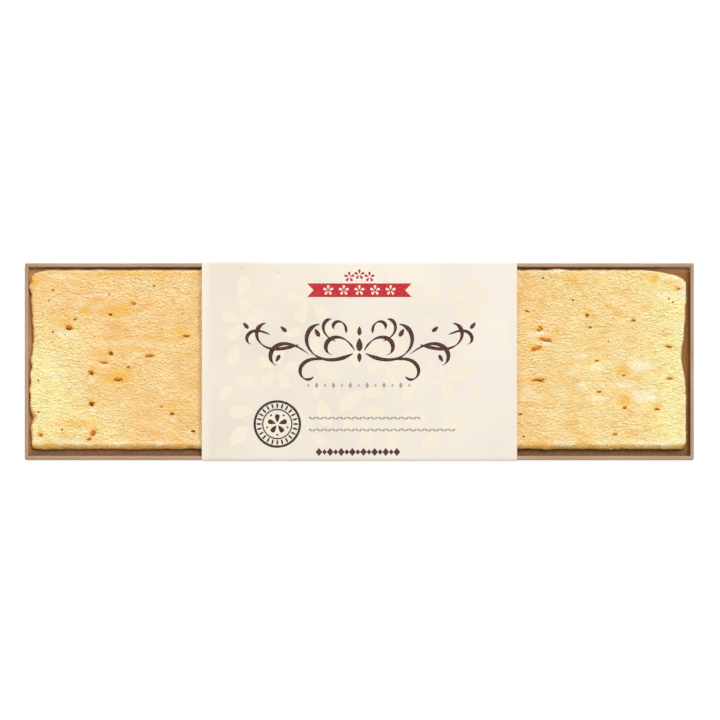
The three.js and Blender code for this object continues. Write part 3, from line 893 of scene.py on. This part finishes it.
# The rows at the right end's far corner and along its top edge are painted highlights, where that edge
# catches the light.
PALE_PATCHES = [
    (93.4, -1.3, 4.4, 2.0, 0.9), (95.2, -11.7, 5.0, 2.1, 0.9), (79.8, -2.1, 2.6, 1.1, 0.8),
    (79.8, -12.6, 3.2, 1.2, 0.7), (74.4, 1.9, 2.2, 1.0, 0.7), (74.7, -8.2, 1.9, 1.2, 0.7),
    (89.2, -8.0, 4.0, 0.9, 0.7), (-98.7, 9.0, 3.0, 1.2, 0.8), (-84.5, 14.2, 2.4, 0.9, 0.5),
    (61.5, 9.4, 4.2, 0.9, 0.9), (62.2, 5.9, 2.6, 0.8, 1.0), (-104.0, -4.0, 3.0, 1.2, 0.5),
    (-100.0, 28.5, 6.0, 0.9, 0.5), (-93.5, 19.5, 2.4, 0.8, 0.4), (-98.0, -27.0, 7.0, 1.0, 0.5),
    (-76.0, 6.0, 12.0, 1.4, 0.4), (57.0, -11.0, 3.0, 2.6, 0.4), (105.5, 27.8, 4.0, 1.4, 1.0),
    (67.0, 30.6, 3.0, 0.9, 1.0), (107.5, -27.5, 1.8, 1.8, 0.7), (104.0, 22.0, 5.0, 1.2, 0.5),
    (109.0, 23.5, 1.0, 3.6, 0.9), (-93.5, 22.1, 4.0, 0.3, 0.7), (-86.5, 22.5, 4.0, 0.3, 0.7),
]
print(len(STRAW_PATCHES), "straw,", len(AMBER_PATCHES), "amber and", len(PALE_PATCHES), "pale patches")

# %% [markdown]
# A patch is strongest in its middle and fades out smoothly, and noise frays its edge. A line along the
# block fades out in the same way to either side. What they give is stored at the mesh's points, under a
# name that the shader reads.

# %% Spread patches over the mesh
def spread_patches(points, patches, raggedness=0.6):
    """How much of any patch there is at each point, from 0 to 1, with ragged edges."""
    ragged = unevenness(points[:, 0] / 2, points[:, 1], 1.3 * MM, 30)
    amount = np.zeros(len(points))
    for x, y, half_length, half_width, strength in patches:
        along = (points[:, 0] - x * MM) / (half_length * MM)
        across = (points[:, 1] - y * MM) / (half_width * MM)
        here = strength * np.exp(-(along ** 2 + across ** 2) ** 1.5 * (1 + raggedness * ragged))
        amount = np.maximum(amount, here)
    return np.clip(amount, 0, 1)


def band(points, line, half_width):
    """1 on a line along the block, fading out to either side of it."""
    return np.exp(-((points[:, 1] - line) / half_width) ** 2)


def store(piece, name, values):
    attribute = piece.data.attributes.new(name, "FLOAT", "POINT")
    attribute.data.foreach_set("value", np.clip(values, 0, 1).astype(np.float32))


# %% [markdown]
# Every pit and slit adds its own patches: amber where the oil came out on its far side, and a painted
# highlight just beyond the near side of the larger pits, where the paste pushed up there catches the light.
# The sides below the top are painted browner, as shade, most along the near side. Painted highlights run
# along both long edges and the right end, where the top's edge catches the light, and a broken amber line
# runs along the near edge.

# %% Colours stored in the block
# Distance from the block's edge and half width of each line, and how far the painted highlight at the right
# end reaches in.
AMBER_LINE = (1.15 * MM, 0.45 * MM)
NEAR_EDGE_HIGHLIGHT = (1.8 * MM, 0.7 * MM)
FAR_EDGE_HIGHLIGHT = (0.3 * MM, 0.6 * MM)
END_EDGE_HIGHLIGHT_FADE = 1.2 * MM
# How far below the top the painted shade on the sides starts, and over what height it deepens.
SIDE_PAINTED_SHADE = (0.3 * MM, 0.8 * MM)
LARGER_PITS = 11

points = get_points(block)
ragged_line = np.clip(0.5 + 0.7 * unevenness(points[:, 0], points[:, 1] / 3, 3.5 * MM, 31), 0, 1)
pit_amber = [(x, y + 0.5 * width, 0.7 * length, 0.9 * width, 0.75) for x, y, length, width, turn in PITS]
slit_amber = [(x, y + 0.2, 0.65 * length, 0.8 * width, 1.0) for x, y, length, width, turn in SLITS]
# Painted highlight just beyond the near side of each larger pit.
pit_painted_highlight = [(x + 0.1 * length, y - 1.3 * width, 0.7 * length, 0.6 * width, 0.6)
            for x, y, length, width, turn in PITS[:LARGER_PITS]]
below_top = TOP - points[:, 2]
# Painted shade on the sides below the top, strongest along the near side.
side_shade_share = np.clip((below_top - SIDE_PAINTED_SHADE[0]) / SIDE_PAINTED_SHADE[1], 0, 1)
near_south = np.clip((SOUTH + 4 * MM - points[:, 1]) / MM, 0, 1)
edge_line = band(points, SOUTH + AMBER_LINE[0], AMBER_LINE[1])
# The sides' painted shade, and the real broken amber line along the near edge.
side_shade_and_amber_line = side_shade_share * (0.12 + 0.25 * near_south) + edge_line * np.clip(3 * ragged_line - 1, 0, 0.8)
amber_spread = spread_patches(points, AMBER_PATCHES + pit_amber + slit_amber)
store(block, "amber", np.maximum(amber_spread, side_shade_and_amber_line))
# Painted highlights along both long edges and the right end, where the top's edge catches the light.
painted_edge_highlights = band(points, SOUTH + NEAR_EDGE_HIGHLIGHT[0], NEAR_EDGE_HIGHLIGHT[1]) * 1.1
painted_edge_highlights += band(points, NORTH - FAR_EDGE_HIGHLIGHT[0], FAR_EDGE_HIGHLIGHT[1]) * 0.6
painted_edge_highlights += np.exp(-np.abs(points[:, 0] - EAST) / END_EDGE_HIGHLIGHT_FADE) * 0.5
painted_edge_highlights *= (1 - 0.6 * ragged_line) * (1 - side_shade_share)
store(block, "pale", np.maximum(spread_patches(points, PALE_PATCHES + pit_painted_highlight), painted_edge_highlights))
store(block, "straw", spread_patches(points, STRAW_PATCHES, 0.3))
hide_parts("nougat_block")
finish_piece(block, "nougat", nougat_paste, pore_wall)

# %% [markdown]
# In some pits sits what made them: a torn sliver of toasted almond, still in its skin. They are dented
# bubbles too, flattened, just below the surface.

# %% Toasted almond slivers
SLIVER_PITS = (0, 3, 5, 8, 11)
sliver_draw = random.Random(3)
bubbles = [bubble_shape(number, 0.35) for number in range(BUBBLE_SHAPES)]
slivers = []
for x, y, length, width, turn in SLITS[:4] + [PITS[index] for index in SLIVER_PITS]:
    size = (0.4 * length, 0.32 * width, 0.2)
    y += 0.12 * width
    height = surface_height(x, y) - sliver_draw.uniform(0.14, 0.24)
    turn += sliver_draw.uniform(-16, 16)
    source = sliver_draw.choice(bubbles)
    slivers.append(place_copy(source, x, y, height, size, turn, tilt=sliver_draw.uniform(-12, 12)))
almond_slivers = join("almond_slivers", slivers)
make_active(almond_slivers)
bpy.ops.object.shade_smooth()
finish_piece(almond_slivers, "nougat", toasted_almond)

# %% [markdown]
# Crumbs of paste and of almond skin cling to the edges that the knife tore. Each sits on a point of the
# skin, drawn from those along the near edge and in the chip, so it is half sunk wherever it lands. A few
# more fell to the tray's floor.

# %% Crumbs
EDGE_CRUMBS = 80
FLOOR_CRUMBS = 30
TOASTED_EVERY = 5
EDGE_CRUMB_SIZE = (0.15, 0.45)
FLOOR_CRUMB_SIZE = (0.12, 0.28)
FLOOR_CRUMB_BAND = (-31.4, -30.4)
# How far in and how far down the crumbs cling, along the near edge and in the chip.
EDGE_REACH = (1.4 * MM, 2.0 * MM)
CHIP_REACH = (2 * MM, 4 * MM)
crumb_draw = random.Random(23)
floor_z = (tray_low.z + TRAY_FLOOR) / MM


def place_crumb(x, y, z, size):
    shape = [size * crumb_draw.uniform(0.6, 1.0) for axis in range(3)]
    return place_copy(crumb_draw.choice(bubbles), x, y, z, shape, crumb_draw.uniform(0, 360))


in_sight = abs(skin[:, 0]) > HIDDEN_HALF
south_edge = (skin[:, 1] < SOUTH + EDGE_REACH[0]) & (skin[:, 2] > TOP - EDGE_REACH[1])
beside_chip = abs(skin[:, 1] - CHIP[0] * MM) < CHIP_REACH[0]
in_chip = beside_chip & (skin[:, 0] < WEST + CHIP_REACH[0]) & (skin[:, 2] > TOP - CHIP_REACH[1])
places = skin[in_sight & (south_edge | in_chip)] / MM
crumbs = []
toasted_crumbs = []
for number in range(EDGE_CRUMBS):
    x, y, z = places[crumb_draw.randrange(len(places))]
    kind = toasted_crumbs if number % TOASTED_EVERY == 0 else crumbs
    kind.append(place_crumb(x, y, z, crumb_draw.uniform(*EDGE_CRUMB_SIZE)))
for number in range(FLOOR_CRUMBS):
    x = crumb_draw.uniform(WEST, EAST) / MM
    size = crumb_draw.uniform(*FLOOR_CRUMB_SIZE)
    crumbs.append(place_crumb(x, crumb_draw.uniform(*FLOOR_CRUMB_BAND), floor_z + 0.6 * size, size))
for bubble in bubbles:
    bpy.data.objects.remove(bubble)
for name, parts, material in (("nougat_crumbs", crumbs, nougat_paste),
                              ("toasted_crumbs", toasted_crumbs, toasted_almond)):
    piece = join(name, parts)
    make_active(piece)
    bpy.ops.object.shade_smooth()
    finish_piece(piece, "nougat", material)

# %% [markdown]
# The sleeve is one strip of cream card, creased four times round the tray and closed by a glue flap
# underneath. The card is uncoated and made with some unbleached fibre, so it is warm white, faintly
# cloudy, and strewn with tiny grey and brown fibres. Its print starts with a tint that is a little
# stronger to the left, and the card turns to one light cream in a narrow strip at each cut end.

# %% Cream card
TINT_EDGE = (sleeve_high.x - 3.2 * MM, sleeve_high.x - 1.6 * MM)
CARD_CLOUD = 22 * MM
CARD_FIBRE = 4.2 * MM
CARD_TOOTH = 0.5 * MM

cream_card, tree, shader, coords = start_material("uncoated_cream_card", "#f6eedf", 0.7, 0.3)
place = add_node(tree, "SeparateXYZ", {"Vector": coords})
from_middle = add_node(tree, "Math", {"Value": place}, operation="ABSOLUTE")
cloud = add_node(tree, "TexNoise", {"Vector": coords, "Scale": 1 / CARD_CLOUD, "Detail": 4.0})
fibre_space = add_node(tree, "Mapping", {"Vector": coords, "Scale": (0.35, 1.0, 1.0),
                                         "Rotation": (0, 0, 0.6)})
fibre = add_node(tree, "TexVoronoi", {"Vector": fibre_space, "Scale": 1 / CARD_FIBRE})
fibred = lay_colours(tree, "#dfd6c7", [
    (place.outputs["X"], sleeve_low.x, sleeve_high.x, 1.0, "#e6dfd4"),
    (cloud, 0.35, 0.65, 0.5, "#eee7da"),
    (from_middle, *TINT_EDGE, 1.0, "#e9e0d2"),
    (fibre, 0.075, 0.04, 0.35, "#a8977c"),
])
tooth = add_node(tree, "TexNoise", {"Vector": coords, "Scale": 1 / CARD_TOOTH, "Detail": 3.0})
relief = add_node(tree, "Bump", {"Height": tooth, "Distance": 0.02 * MM})
fill(shader, {"Base Color": fibred, "Normal": relief})
print(cream_card.name, "has", len(tree.nodes), "nodes")

# %% [markdown]
# A cube brought to the sleeve's outer size loses its two end faces and becomes a tube. Its four long
# edges are bevelled into creases, and Solidify gives the walls the card's thickness, inwards. The glue
# flap is a second strip, inside and underneath, and a fine open line on the underside shows where the
# outer card ends.

# %% Sleeve
SLEEVE_CARD = 0.3 * MM
SLEEVE_CREASE = 0.9 * MM
FLAP_HALF = 9 * MM
SEAM_WIDTH = 0.25 * MM
FLAP_INSET = 0.2 * MM
FLAP_EDGE = 0.08 * MM

sleeve = start_box("card_sleeve", sleeve_low, sleeve_high)
pick(sleeve, "FACE", lambda middle, normal: abs(normal.x) > 0.9)
bpy.ops.mesh.delete(type="FACE")
pick(sleeve, "EDGE", lambda middle, direction: abs(direction.x) > 0.9)
bpy.ops.mesh.bevel(offset=SLEEVE_CREASE, segments=4)
for seam in (FLAP_HALF, FLAP_HALF + SEAM_WIDTH):
    bpy.ops.mesh.select_all(action="SELECT")
    bpy.ops.mesh.bisect(plane_co=(0, seam, 0), plane_no=(0, 1, 0))
pick(sleeve, "FACE", lambda middle, normal: normal.z < -0.9 and 0 < middle.y - FLAP_HALF < SEAM_WIDTH)
bpy.ops.mesh.delete(type="FACE")
bpy.ops.object.mode_set(mode="OBJECT")
wall = sleeve.modifiers.new("card", "SOLIDIFY")
wall.thickness = SLEEVE_CARD
wall.offset = -1
bpy.ops.object.modifier_apply(modifier="card")

flap_low = (sleeve_low.x + FLAP_INSET, -FLAP_HALF, sleeve_low.z + SLEEVE_CARD)
flap_high = (sleeve_high.x - FLAP_INSET, 2 * FLAP_HALF, sleeve_low.z + 2 * SLEEVE_CARD)
flap = start_box("glue_flap", flap_low, flap_high)
pick(flap, "EDGE", lambda middle, direction: abs(direction.x) > 0.9)
bpy.ops.mesh.bevel(offset=FLAP_EDGE, segments=2)
bpy.ops.object.mode_set(mode="OBJECT")
sleeve = join("card_sleeve", [sleeve, flap])
make_active(sleeve)
bpy.ops.object.shade_smooth_by_angle(angle=math.radians(40))
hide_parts("sleeve")
finish_piece(sleeve, "cream_card", cream_card)

# %% [markdown]
# The sleeve is printed in five flat inks: a pale pattern of almond blossom and almonds over the whole band,
# a red ribbon at the top, dark scrollwork across the middle, grey small ornament below it, and a stamped
# ring in the corner. Real ink has no thickness to speak of. Here each ink is a very thin closed solid, let
# into the card, so its outline is sharp from any distance. The pale pattern stands a hundredth of a
# millimetre proud and the others a little more, as they were printed over it.

# %% Inks
CARD_FACE = sleeve_high.z
INK_THICKNESS = 0.06 * MM
PALE_LEVEL = 0.012 * MM
DARK_LEVEL = 0.03 * MM
INK_WEAR = 0.7 * MM


def ink(name, colour, worn):
    """Offset ink on uncoated card: dull, and a little lighter where it didn't quite cover the fibres."""
    material, tree, shader, coords = start_material(name, colour, 0.65, 0.25)
    cover = add_node(tree, "TexNoise", {"Vector": coords, "Scale": 1 / INK_WEAR, "Detail": 3.0})
    fill(shader, {"Base Color": lay_colours(tree, colour, [(cover, 0.5, 0.7, 1.0, worn)])})
    return material


pale_ink = ink("pale_beige_offset_ink", "#ebdfcb", "#efe5d4")
red_ink = ink("red_offset_ink", "#b8242b", "#c8454a")
dark_ink = ink("maroon_brown_offset_ink", "#4a2824", "#6d4744")
grey_ink = ink("warm_grey_offset_ink", "#9d968c", "#b3aca1")
stamp_ink = ink("black_brown_stamp_ink", "#34261e", "#5c4e42")
print("card's face at", round(CARD_FACE / MM, 2), "mm")

# %% [markdown]
# A motif such as a petal, an almond or a diamond starts as a low cylinder, and a function moves the points
# of its outline to the motif's own shape. So each is a closed solid from the start, and as smooth as its
# number of sides. A motif is modelled once at its own size, copied to its places, singly or in a circle like
# the petals of a blossom, and then taken away.

# %% Motifs of the print
def flat_motif(sides, length, width, shape=None):
    """A low cylinder as a flat ink solid. Its outline is reshaped in units of half its size."""
    bpy.ops.object.select_all(action="DESELECT")
    bpy.ops.mesh.primitive_cylinder_add(vertices=sides, radius=1, depth=INK_THICKNESS)
    motif = bpy.context.object
    points = get_points(motif)
    for point in points:
        x, y = shape(point[0], point[1]) if shape else (point[0], point[1])
        point[:2] = x * length / 2, y * width / 2
    set_points(motif, points)
    return motif


def petal_outline(x, y):
    """Narrow where it joins the flower, broad and slightly notched at the tip."""
    notch = 0.16 * math.exp(-(y / 0.3) ** 2) if x > 0 else 0
    return x * (1 - notch), y * (0.62 + 0.38 * x)


def almond_outline(x, y):
    """Pointed at one end and round at the other."""
    return x, y * (1 - 0.3 * x - 0.22 * x * x) * 0.95


def print_copy(motif, x, y, turn=0.0, size=1.0, level=DARK_LEVEL):
    """A copy of a motif on the card's face, its top at this level above it. Millimetres and degrees."""
    height = CARD_FACE + level - INK_THICKNESS / 2
    return place_copy(motif, x, y, height / MM, (size, size, 1), turn)


def print_round(motif, count, x, y, reach, turn=0.0, size=1.0, level=DARK_LEVEL):
    """Copies of a motif in a circle, each pointing outwards."""
    copies = []
    for number in range(count):
        turned = turn + 360 / count * number
        out = (math.cos(math.radians(turned)), math.sin(math.radians(turned)))
        copies.append(print_copy(motif, x + reach * out[0], y + reach * out[1], turned, size, level))
    return copies


def finish_print(name, copies, masters, material):
    """Joins one ink's copies into a piece and takes its master motifs away."""
    for master in masters:
        bpy.data.objects.remove(master)
    finish_piece(join(name, copies), "cream_card", material)


# %% [markdown]
# The pale pattern is sprinkled by rule. Random places are drawn from a seeded source, and a blossom or an
# almond is kept only if it lies clear of those before it and inside the printed part. The chance of keeping
# one falls off to the right, where the real band is left plainer.

# %% Pale blossom pattern
PATTERN_HALF = (48, 30.5)
PATTERN_TRIES = 1500
FLOWER_REACH = 6.2
ALMOND_REACH = 3.6
PETAL_RING = 3.7
STAMEN_RING = 1.7
petal = flat_motif(20, 5.2 * MM, 4.4 * MM, petal_outline)
almond = flat_motif(20, 7.4 * MM, 4.2 * MM, almond_outline)
stamen = flat_motif(8, 1.1 * MM, 0.5 * MM)
pattern_draw = random.Random(5)
taken = []
copies = []
for attempt in range(PATTERN_TRIES):
    flower = attempt % 3 == 0
    size = pattern_draw.uniform(0.75, 1.35)
    turn = pattern_draw.uniform(0, 360)
    reach = (FLOWER_REACH if flower else ALMOND_REACH) * size
    x = pattern_draw.uniform(reach - PATTERN_HALF[0], PATTERN_HALF[0] - reach)
    y = pattern_draw.uniform(reach - PATTERN_HALF[1], PATTERN_HALF[1] - reach)
    kept = pattern_draw.random() < 1.05 - 0.5 * (x + PATTERN_HALF[0]) / PATTERN_HALF[0]
    clear = all(math.hypot(x - a, y - b) > reach + other for a, b, other in taken)
    if not (kept and clear):
        continue
    taken.append((x, y, reach))
    if flower:
        copies += print_round(petal, 5, x, y, PETAL_RING * size, turn, size, PALE_LEVEL)
        copies += print_round(stamen, 5, x, y, STAMEN_RING * size, turn + 36, size, PALE_LEVEL)
    else:
        copies.append(print_copy(almond, x, y, turn, size, PALE_LEVEL))
print(len(taken), "blossoms and almonds")
finish_print("print_pale_pattern", copies, (petal, almond, stamen), pale_ink)

# %% [markdown]
# The ribbon is a strip with swallow tails: a cube primitive with its short sides drawn in at the middle.
# Three small blossoms stand above it as a sprig. The cream blossoms on the ribbon are holes, so that the
# card shows through, as it would if the printer left them unprinted. Their cutter is the same thin petals,
# stretched upright about the card's face so that it goes right through the ink.

# %% Red ribbon
RIBBON_HALF = 17.6
RIBBON_EDGES = (21.6, 26.2)
RIBBON_TAIL = 2.2
RIBBON_BLOSSOMS = (-10.5, -5.25, 0, 5.25, 10.5)
SPRIG_BLOSSOMS = ((-3.4, 28.4), (0, 29.2), (3.4, 28.4))
BLOSSOM_RING = 1.05
CUTTER_STRETCH = 4

ribbon_low = (-RIBBON_HALF * MM, RIBBON_EDGES[0] * MM, CARD_FACE + DARK_LEVEL - INK_THICKNESS)
ribbon_high = (RIBBON_HALF * MM, RIBBON_EDGES[1] * MM, CARD_FACE + DARK_LEVEL)
ribbon = start_box("ribbon", ribbon_low, ribbon_high)
ribbon_middle = (RIBBON_EDGES[0] + RIBBON_EDGES[1]) / 2
bpy.ops.mesh.bisect(plane_co=(0, ribbon_middle * MM, 0), plane_no=(0, 1, 0))
bpy.ops.object.mode_set(mode="OBJECT")
for point in ribbon.data.vertices:
    if abs(point.co.y - ribbon_middle * MM) < NEAR:
        point.co.x -= math.copysign(RIBBON_TAIL * MM, point.co.x)
small_petal = flat_motif(14, 1.5 * MM, 1.2 * MM, petal_outline)
holes = []
for x in RIBBON_BLOSSOMS:
    holes += print_round(small_petal, 5, x, ribbon_middle, BLOSSOM_RING, 90)
hole_cutter = join("ribbon_holes", holes)
hole_cutter.scale.z = CUTTER_STRETCH
hole_cutter.location.z = (1 - CUTTER_STRETCH) * CARD_FACE
bpy.context.view_layer.update()
cut_out(ribbon, hole_cutter)
sprig = [ribbon]
for x, y in SPRIG_BLOSSOMS:
    sprig += print_round(small_petal, 5, x, y, BLOSSOM_RING, 90)
finish_print("print_red_ribbon", sprig, (small_petal,), red_ink)

# %% [markdown]
# The scrollwork is drawn as a calligrapher would with a broad pen: each stroke is a line whose curvature
# changes steadily along it, which is what makes a spiral of ink look easy, and its width depends on its
# direction. Such a line is an Euler spiral, so its points come from adding up small steps whose heading
# turns by the curvature. A curve object with a round bevel and a radius for each point gives it a body,
# which is made a mesh and pressed flat.

# %% Strokes of the pen
STROKE_STEP = 0.25
PEN_ANGLE = math.radians(38)
PEN_WIDTH = (0.4, 1.5)


def scroll(x, y, heading, length, curl_start, curl_end, weight=1.0):
    """Centre line and widths of one stroke in millimetres. The curls are in degrees for each millimetre."""
    steps = round(length / STROKE_STEP)
    line = []
    angle = math.radians(heading)
    for step in range(steps + 1):
        share = step / steps
        thick = PEN_WIDTH[0] + (PEN_WIDTH[1] - PEN_WIDTH[0]) * abs(math.sin(angle - PEN_ANGLE)) * weight
        taper = min(1.0, 0.25 + 6 * share, 0.25 + 6 * (1 - share))
        line.append((x, y, thick * taper))
        angle += math.radians(curl_start + (curl_end - curl_start) * share) * STROKE_STEP
        x += math.cos(angle) * STROKE_STEP
        y += math.sin(angle) * STROKE_STEP
    return line


def ink_stroke(line, lift):
    """A stroke's line as a closed flat solid on the card, lifted a trace so that it can cross others."""
    data = bpy.data.curves.new("stroke", "CURVE")
    data.dimensions = "3D"
    data.bevel_depth = 1 * MM
    data.bevel_resolution = 1
    data.use_fill_caps = True
    spline = data.splines.new("POLY")
    spline.points.add(len(line) - 1)
    for point, (x, y, width) in zip(spline.points, line):
        point.co = (x * MM, y * MM, 0, 1)
        point.radius = width / 2
    stroke = bpy.data.objects.new("stroke", data)
    bpy.context.scene.collection.objects.link(stroke)
    make_active(stroke)
    bpy.ops.object.convert(target="MESH")
    flat = get_points(stroke)
    flat[:, 2] = CARD_FACE + DARK_LEVEL + lift + np.clip(2 * flat[:, 2], -INK_THICKNESS, 0)
    set_points(stroke, flat)
    return stroke


# %% [markdown]
# Each row of the plan is one stroke: where it starts, its heading, its length, how much it curls at its
# start and at its end, and its weight. It is drawn on the right and again, mirrored, on the left. Every
# stroke lies a trace higher than the one before, because faces at one height would flicker where two
# strokes cross. Small leaves fill the forks, and a row of diamonds closes the print at the foot.

# %% Draw the scrollwork
STROKE_LIFT = 0.0015 * MM
DIAMOND_ROW = (-0.5, -30.5)
DIAMOND_STEP = 1.87
SCROLLS = [
    (1.6, 3.6, 62, 17.0, -3.0, -24.0, 1.0), (2.2, 2.6, -28, 27.0, 2.0, 13.0, 1.0),
    (11.5, 0.5, 10, 17.0, -1.0, -28.0, 0.8), (17.0, 2.4, 35, 20.0, 0.5, -20.0, 1.0),
    (20.5, 5.5, -12, 22.0, -2.0, 19.0, 0.9), (4.5, 9.5, 100, 9.0, -10.0, -40.0, 0.7),
    (30.0, 9.0, 20, 12.0, 3.0, -34.0, 0.7), (8.0, 6.8, 20, 11.0, 4.0, 26.0, 0.7),
]
# Middle, turn and size of each leaf.
LEAVES = [
    (0, 5.6, 90, 1.3), (0, 10.2, 90, 0.9), (0, 1.2, 270, 0.9), (14.2, 9.6, 60, 0.9),
    (25.5, 10.8, 40, 0.8), (27.4, 1.0, 300, 0.8), (38.2, 12.0, 50, 0.8),
]
strokes = []
for number, plan in enumerate(SCROLLS):
    line = scroll(*plan)
    lift = STROKE_LIFT * (number + 1)
    strokes.append(ink_stroke(line, lift))
    strokes.append(ink_stroke([(-x, y, width) for x, y, width in line], lift))
leaf = flat_motif(16, 3.4 * MM, 1.7 * MM, almond_outline)
for x, y, turn, size in LEAVES:
    strokes.append(print_copy(leaf, x, y, turn, size))
    if x:
        strokes.append(print_copy(leaf, -x, y, 180 - turn, size))
diamond = flat_motif(4, 2.3 * MM, 2.7 * MM)
for number in range(-7, 8):
    x = DIAMOND_STEP * number + DIAMOND_ROW[0]
    strokes.append(print_copy(diamond, x, DIAMOND_ROW[1], 0, 0.7 + 0.3 * (number % 2)))
finish_print("print_dark_scrollwork", strokes, (leaf, diamond), dark_ink)

# %% [markdown]
# Below the scrolls comes a row of small lozenges, and beside the stamp two rows of a leaf border: tiny
# almonds set end to end and leaning in turn to either side, as in a garland.

# %% Grey small ornament
LOZENGES = 13
LOZENGE_ROW = (-17.2, -8.1)
LOZENGE_STEP = 2.83
# Height on the card, and start and end along it, of each row of seeds.
SEED_ROWS = ((-19.1, -16.4, 21.6), (-23.1, -16.4, 33.0))
SEED_STEP = 1.3
SEED_LEAN = 32

lozenge = flat_motif(4, 1.7 * MM, 2.9 * MM)
seed = flat_motif(10, 1.5 * MM, 0.7 * MM, almond_outline)
copies = []
for number in range(LOZENGES):
    size = 0.75 if number % 2 else 0.42
    copies.append(print_copy(lozenge, LOZENGE_ROW[0] + LOZENGE_STEP * number, LOZENGE_ROW[1], 0, size))
for row_y, first, last in SEED_ROWS:
    for number in range(round((last - first) / SEED_STEP)):
        lean = SEED_LEAN if number % 2 else -SEED_LEAN
        copies.append(print_copy(seed, first + SEED_STEP * number, row_y, lean))
finish_print("print_grey_ornament", copies, (lozenge, seed), grey_ink)

# %% [markdown]
# The stamp is two rings with short rays between them and a blossom in the middle. Each ring is a torus
# pressed flat. A rubber stamp never prints evenly, so its ink wears through to the card in places.

# %% Stamped ring
STAMP = (-27.6, -21.1)
# Radius and width of the two rings, and the distances from the middle of what stands round it.
RINGS = ((7.6, 0.8), (4.9, 0.42))
RAY_RING = 6.2
STAMP_PETAL_RING = 2.0
DOT_RING = 3.6


def ink_ring(radius, width):
    bpy.ops.object.select_all(action="DESELECT")
    bpy.ops.mesh.primitive_torus_add(major_radius=radius * MM, minor_radius=width / 2 * MM,
                                     major_segments=96, minor_segments=8)
    ring = bpy.context.object
    flat = get_points(ring)
    flat[:, 2] = np.clip(2 * flat[:, 2], -INK_THICKNESS, 0)
    set_points(ring, flat)
    ring.location = (STAMP[0] * MM, STAMP[1] * MM, CARD_FACE + DARK_LEVEL)
    return ring


copies = [ink_ring(*ring) for ring in RINGS]
ray = flat_motif(8, 1.9 * MM, 0.65 * MM)
copies += print_round(ray, 24, *STAMP, RAY_RING)
stamp_petal = flat_motif(14, 2.9 * MM, 2.3 * MM, petal_outline)
copies += print_round(stamp_petal, 5, *STAMP, STAMP_PETAL_RING, 90)
dot = flat_motif(8, 0.7 * MM, 0.7 * MM)
copies += print_round(dot, 5, *STAMP, DOT_RING, 126)
finish_print("print_stamped_ring", copies, (ray, stamp_petal, dot), stamp_ink)
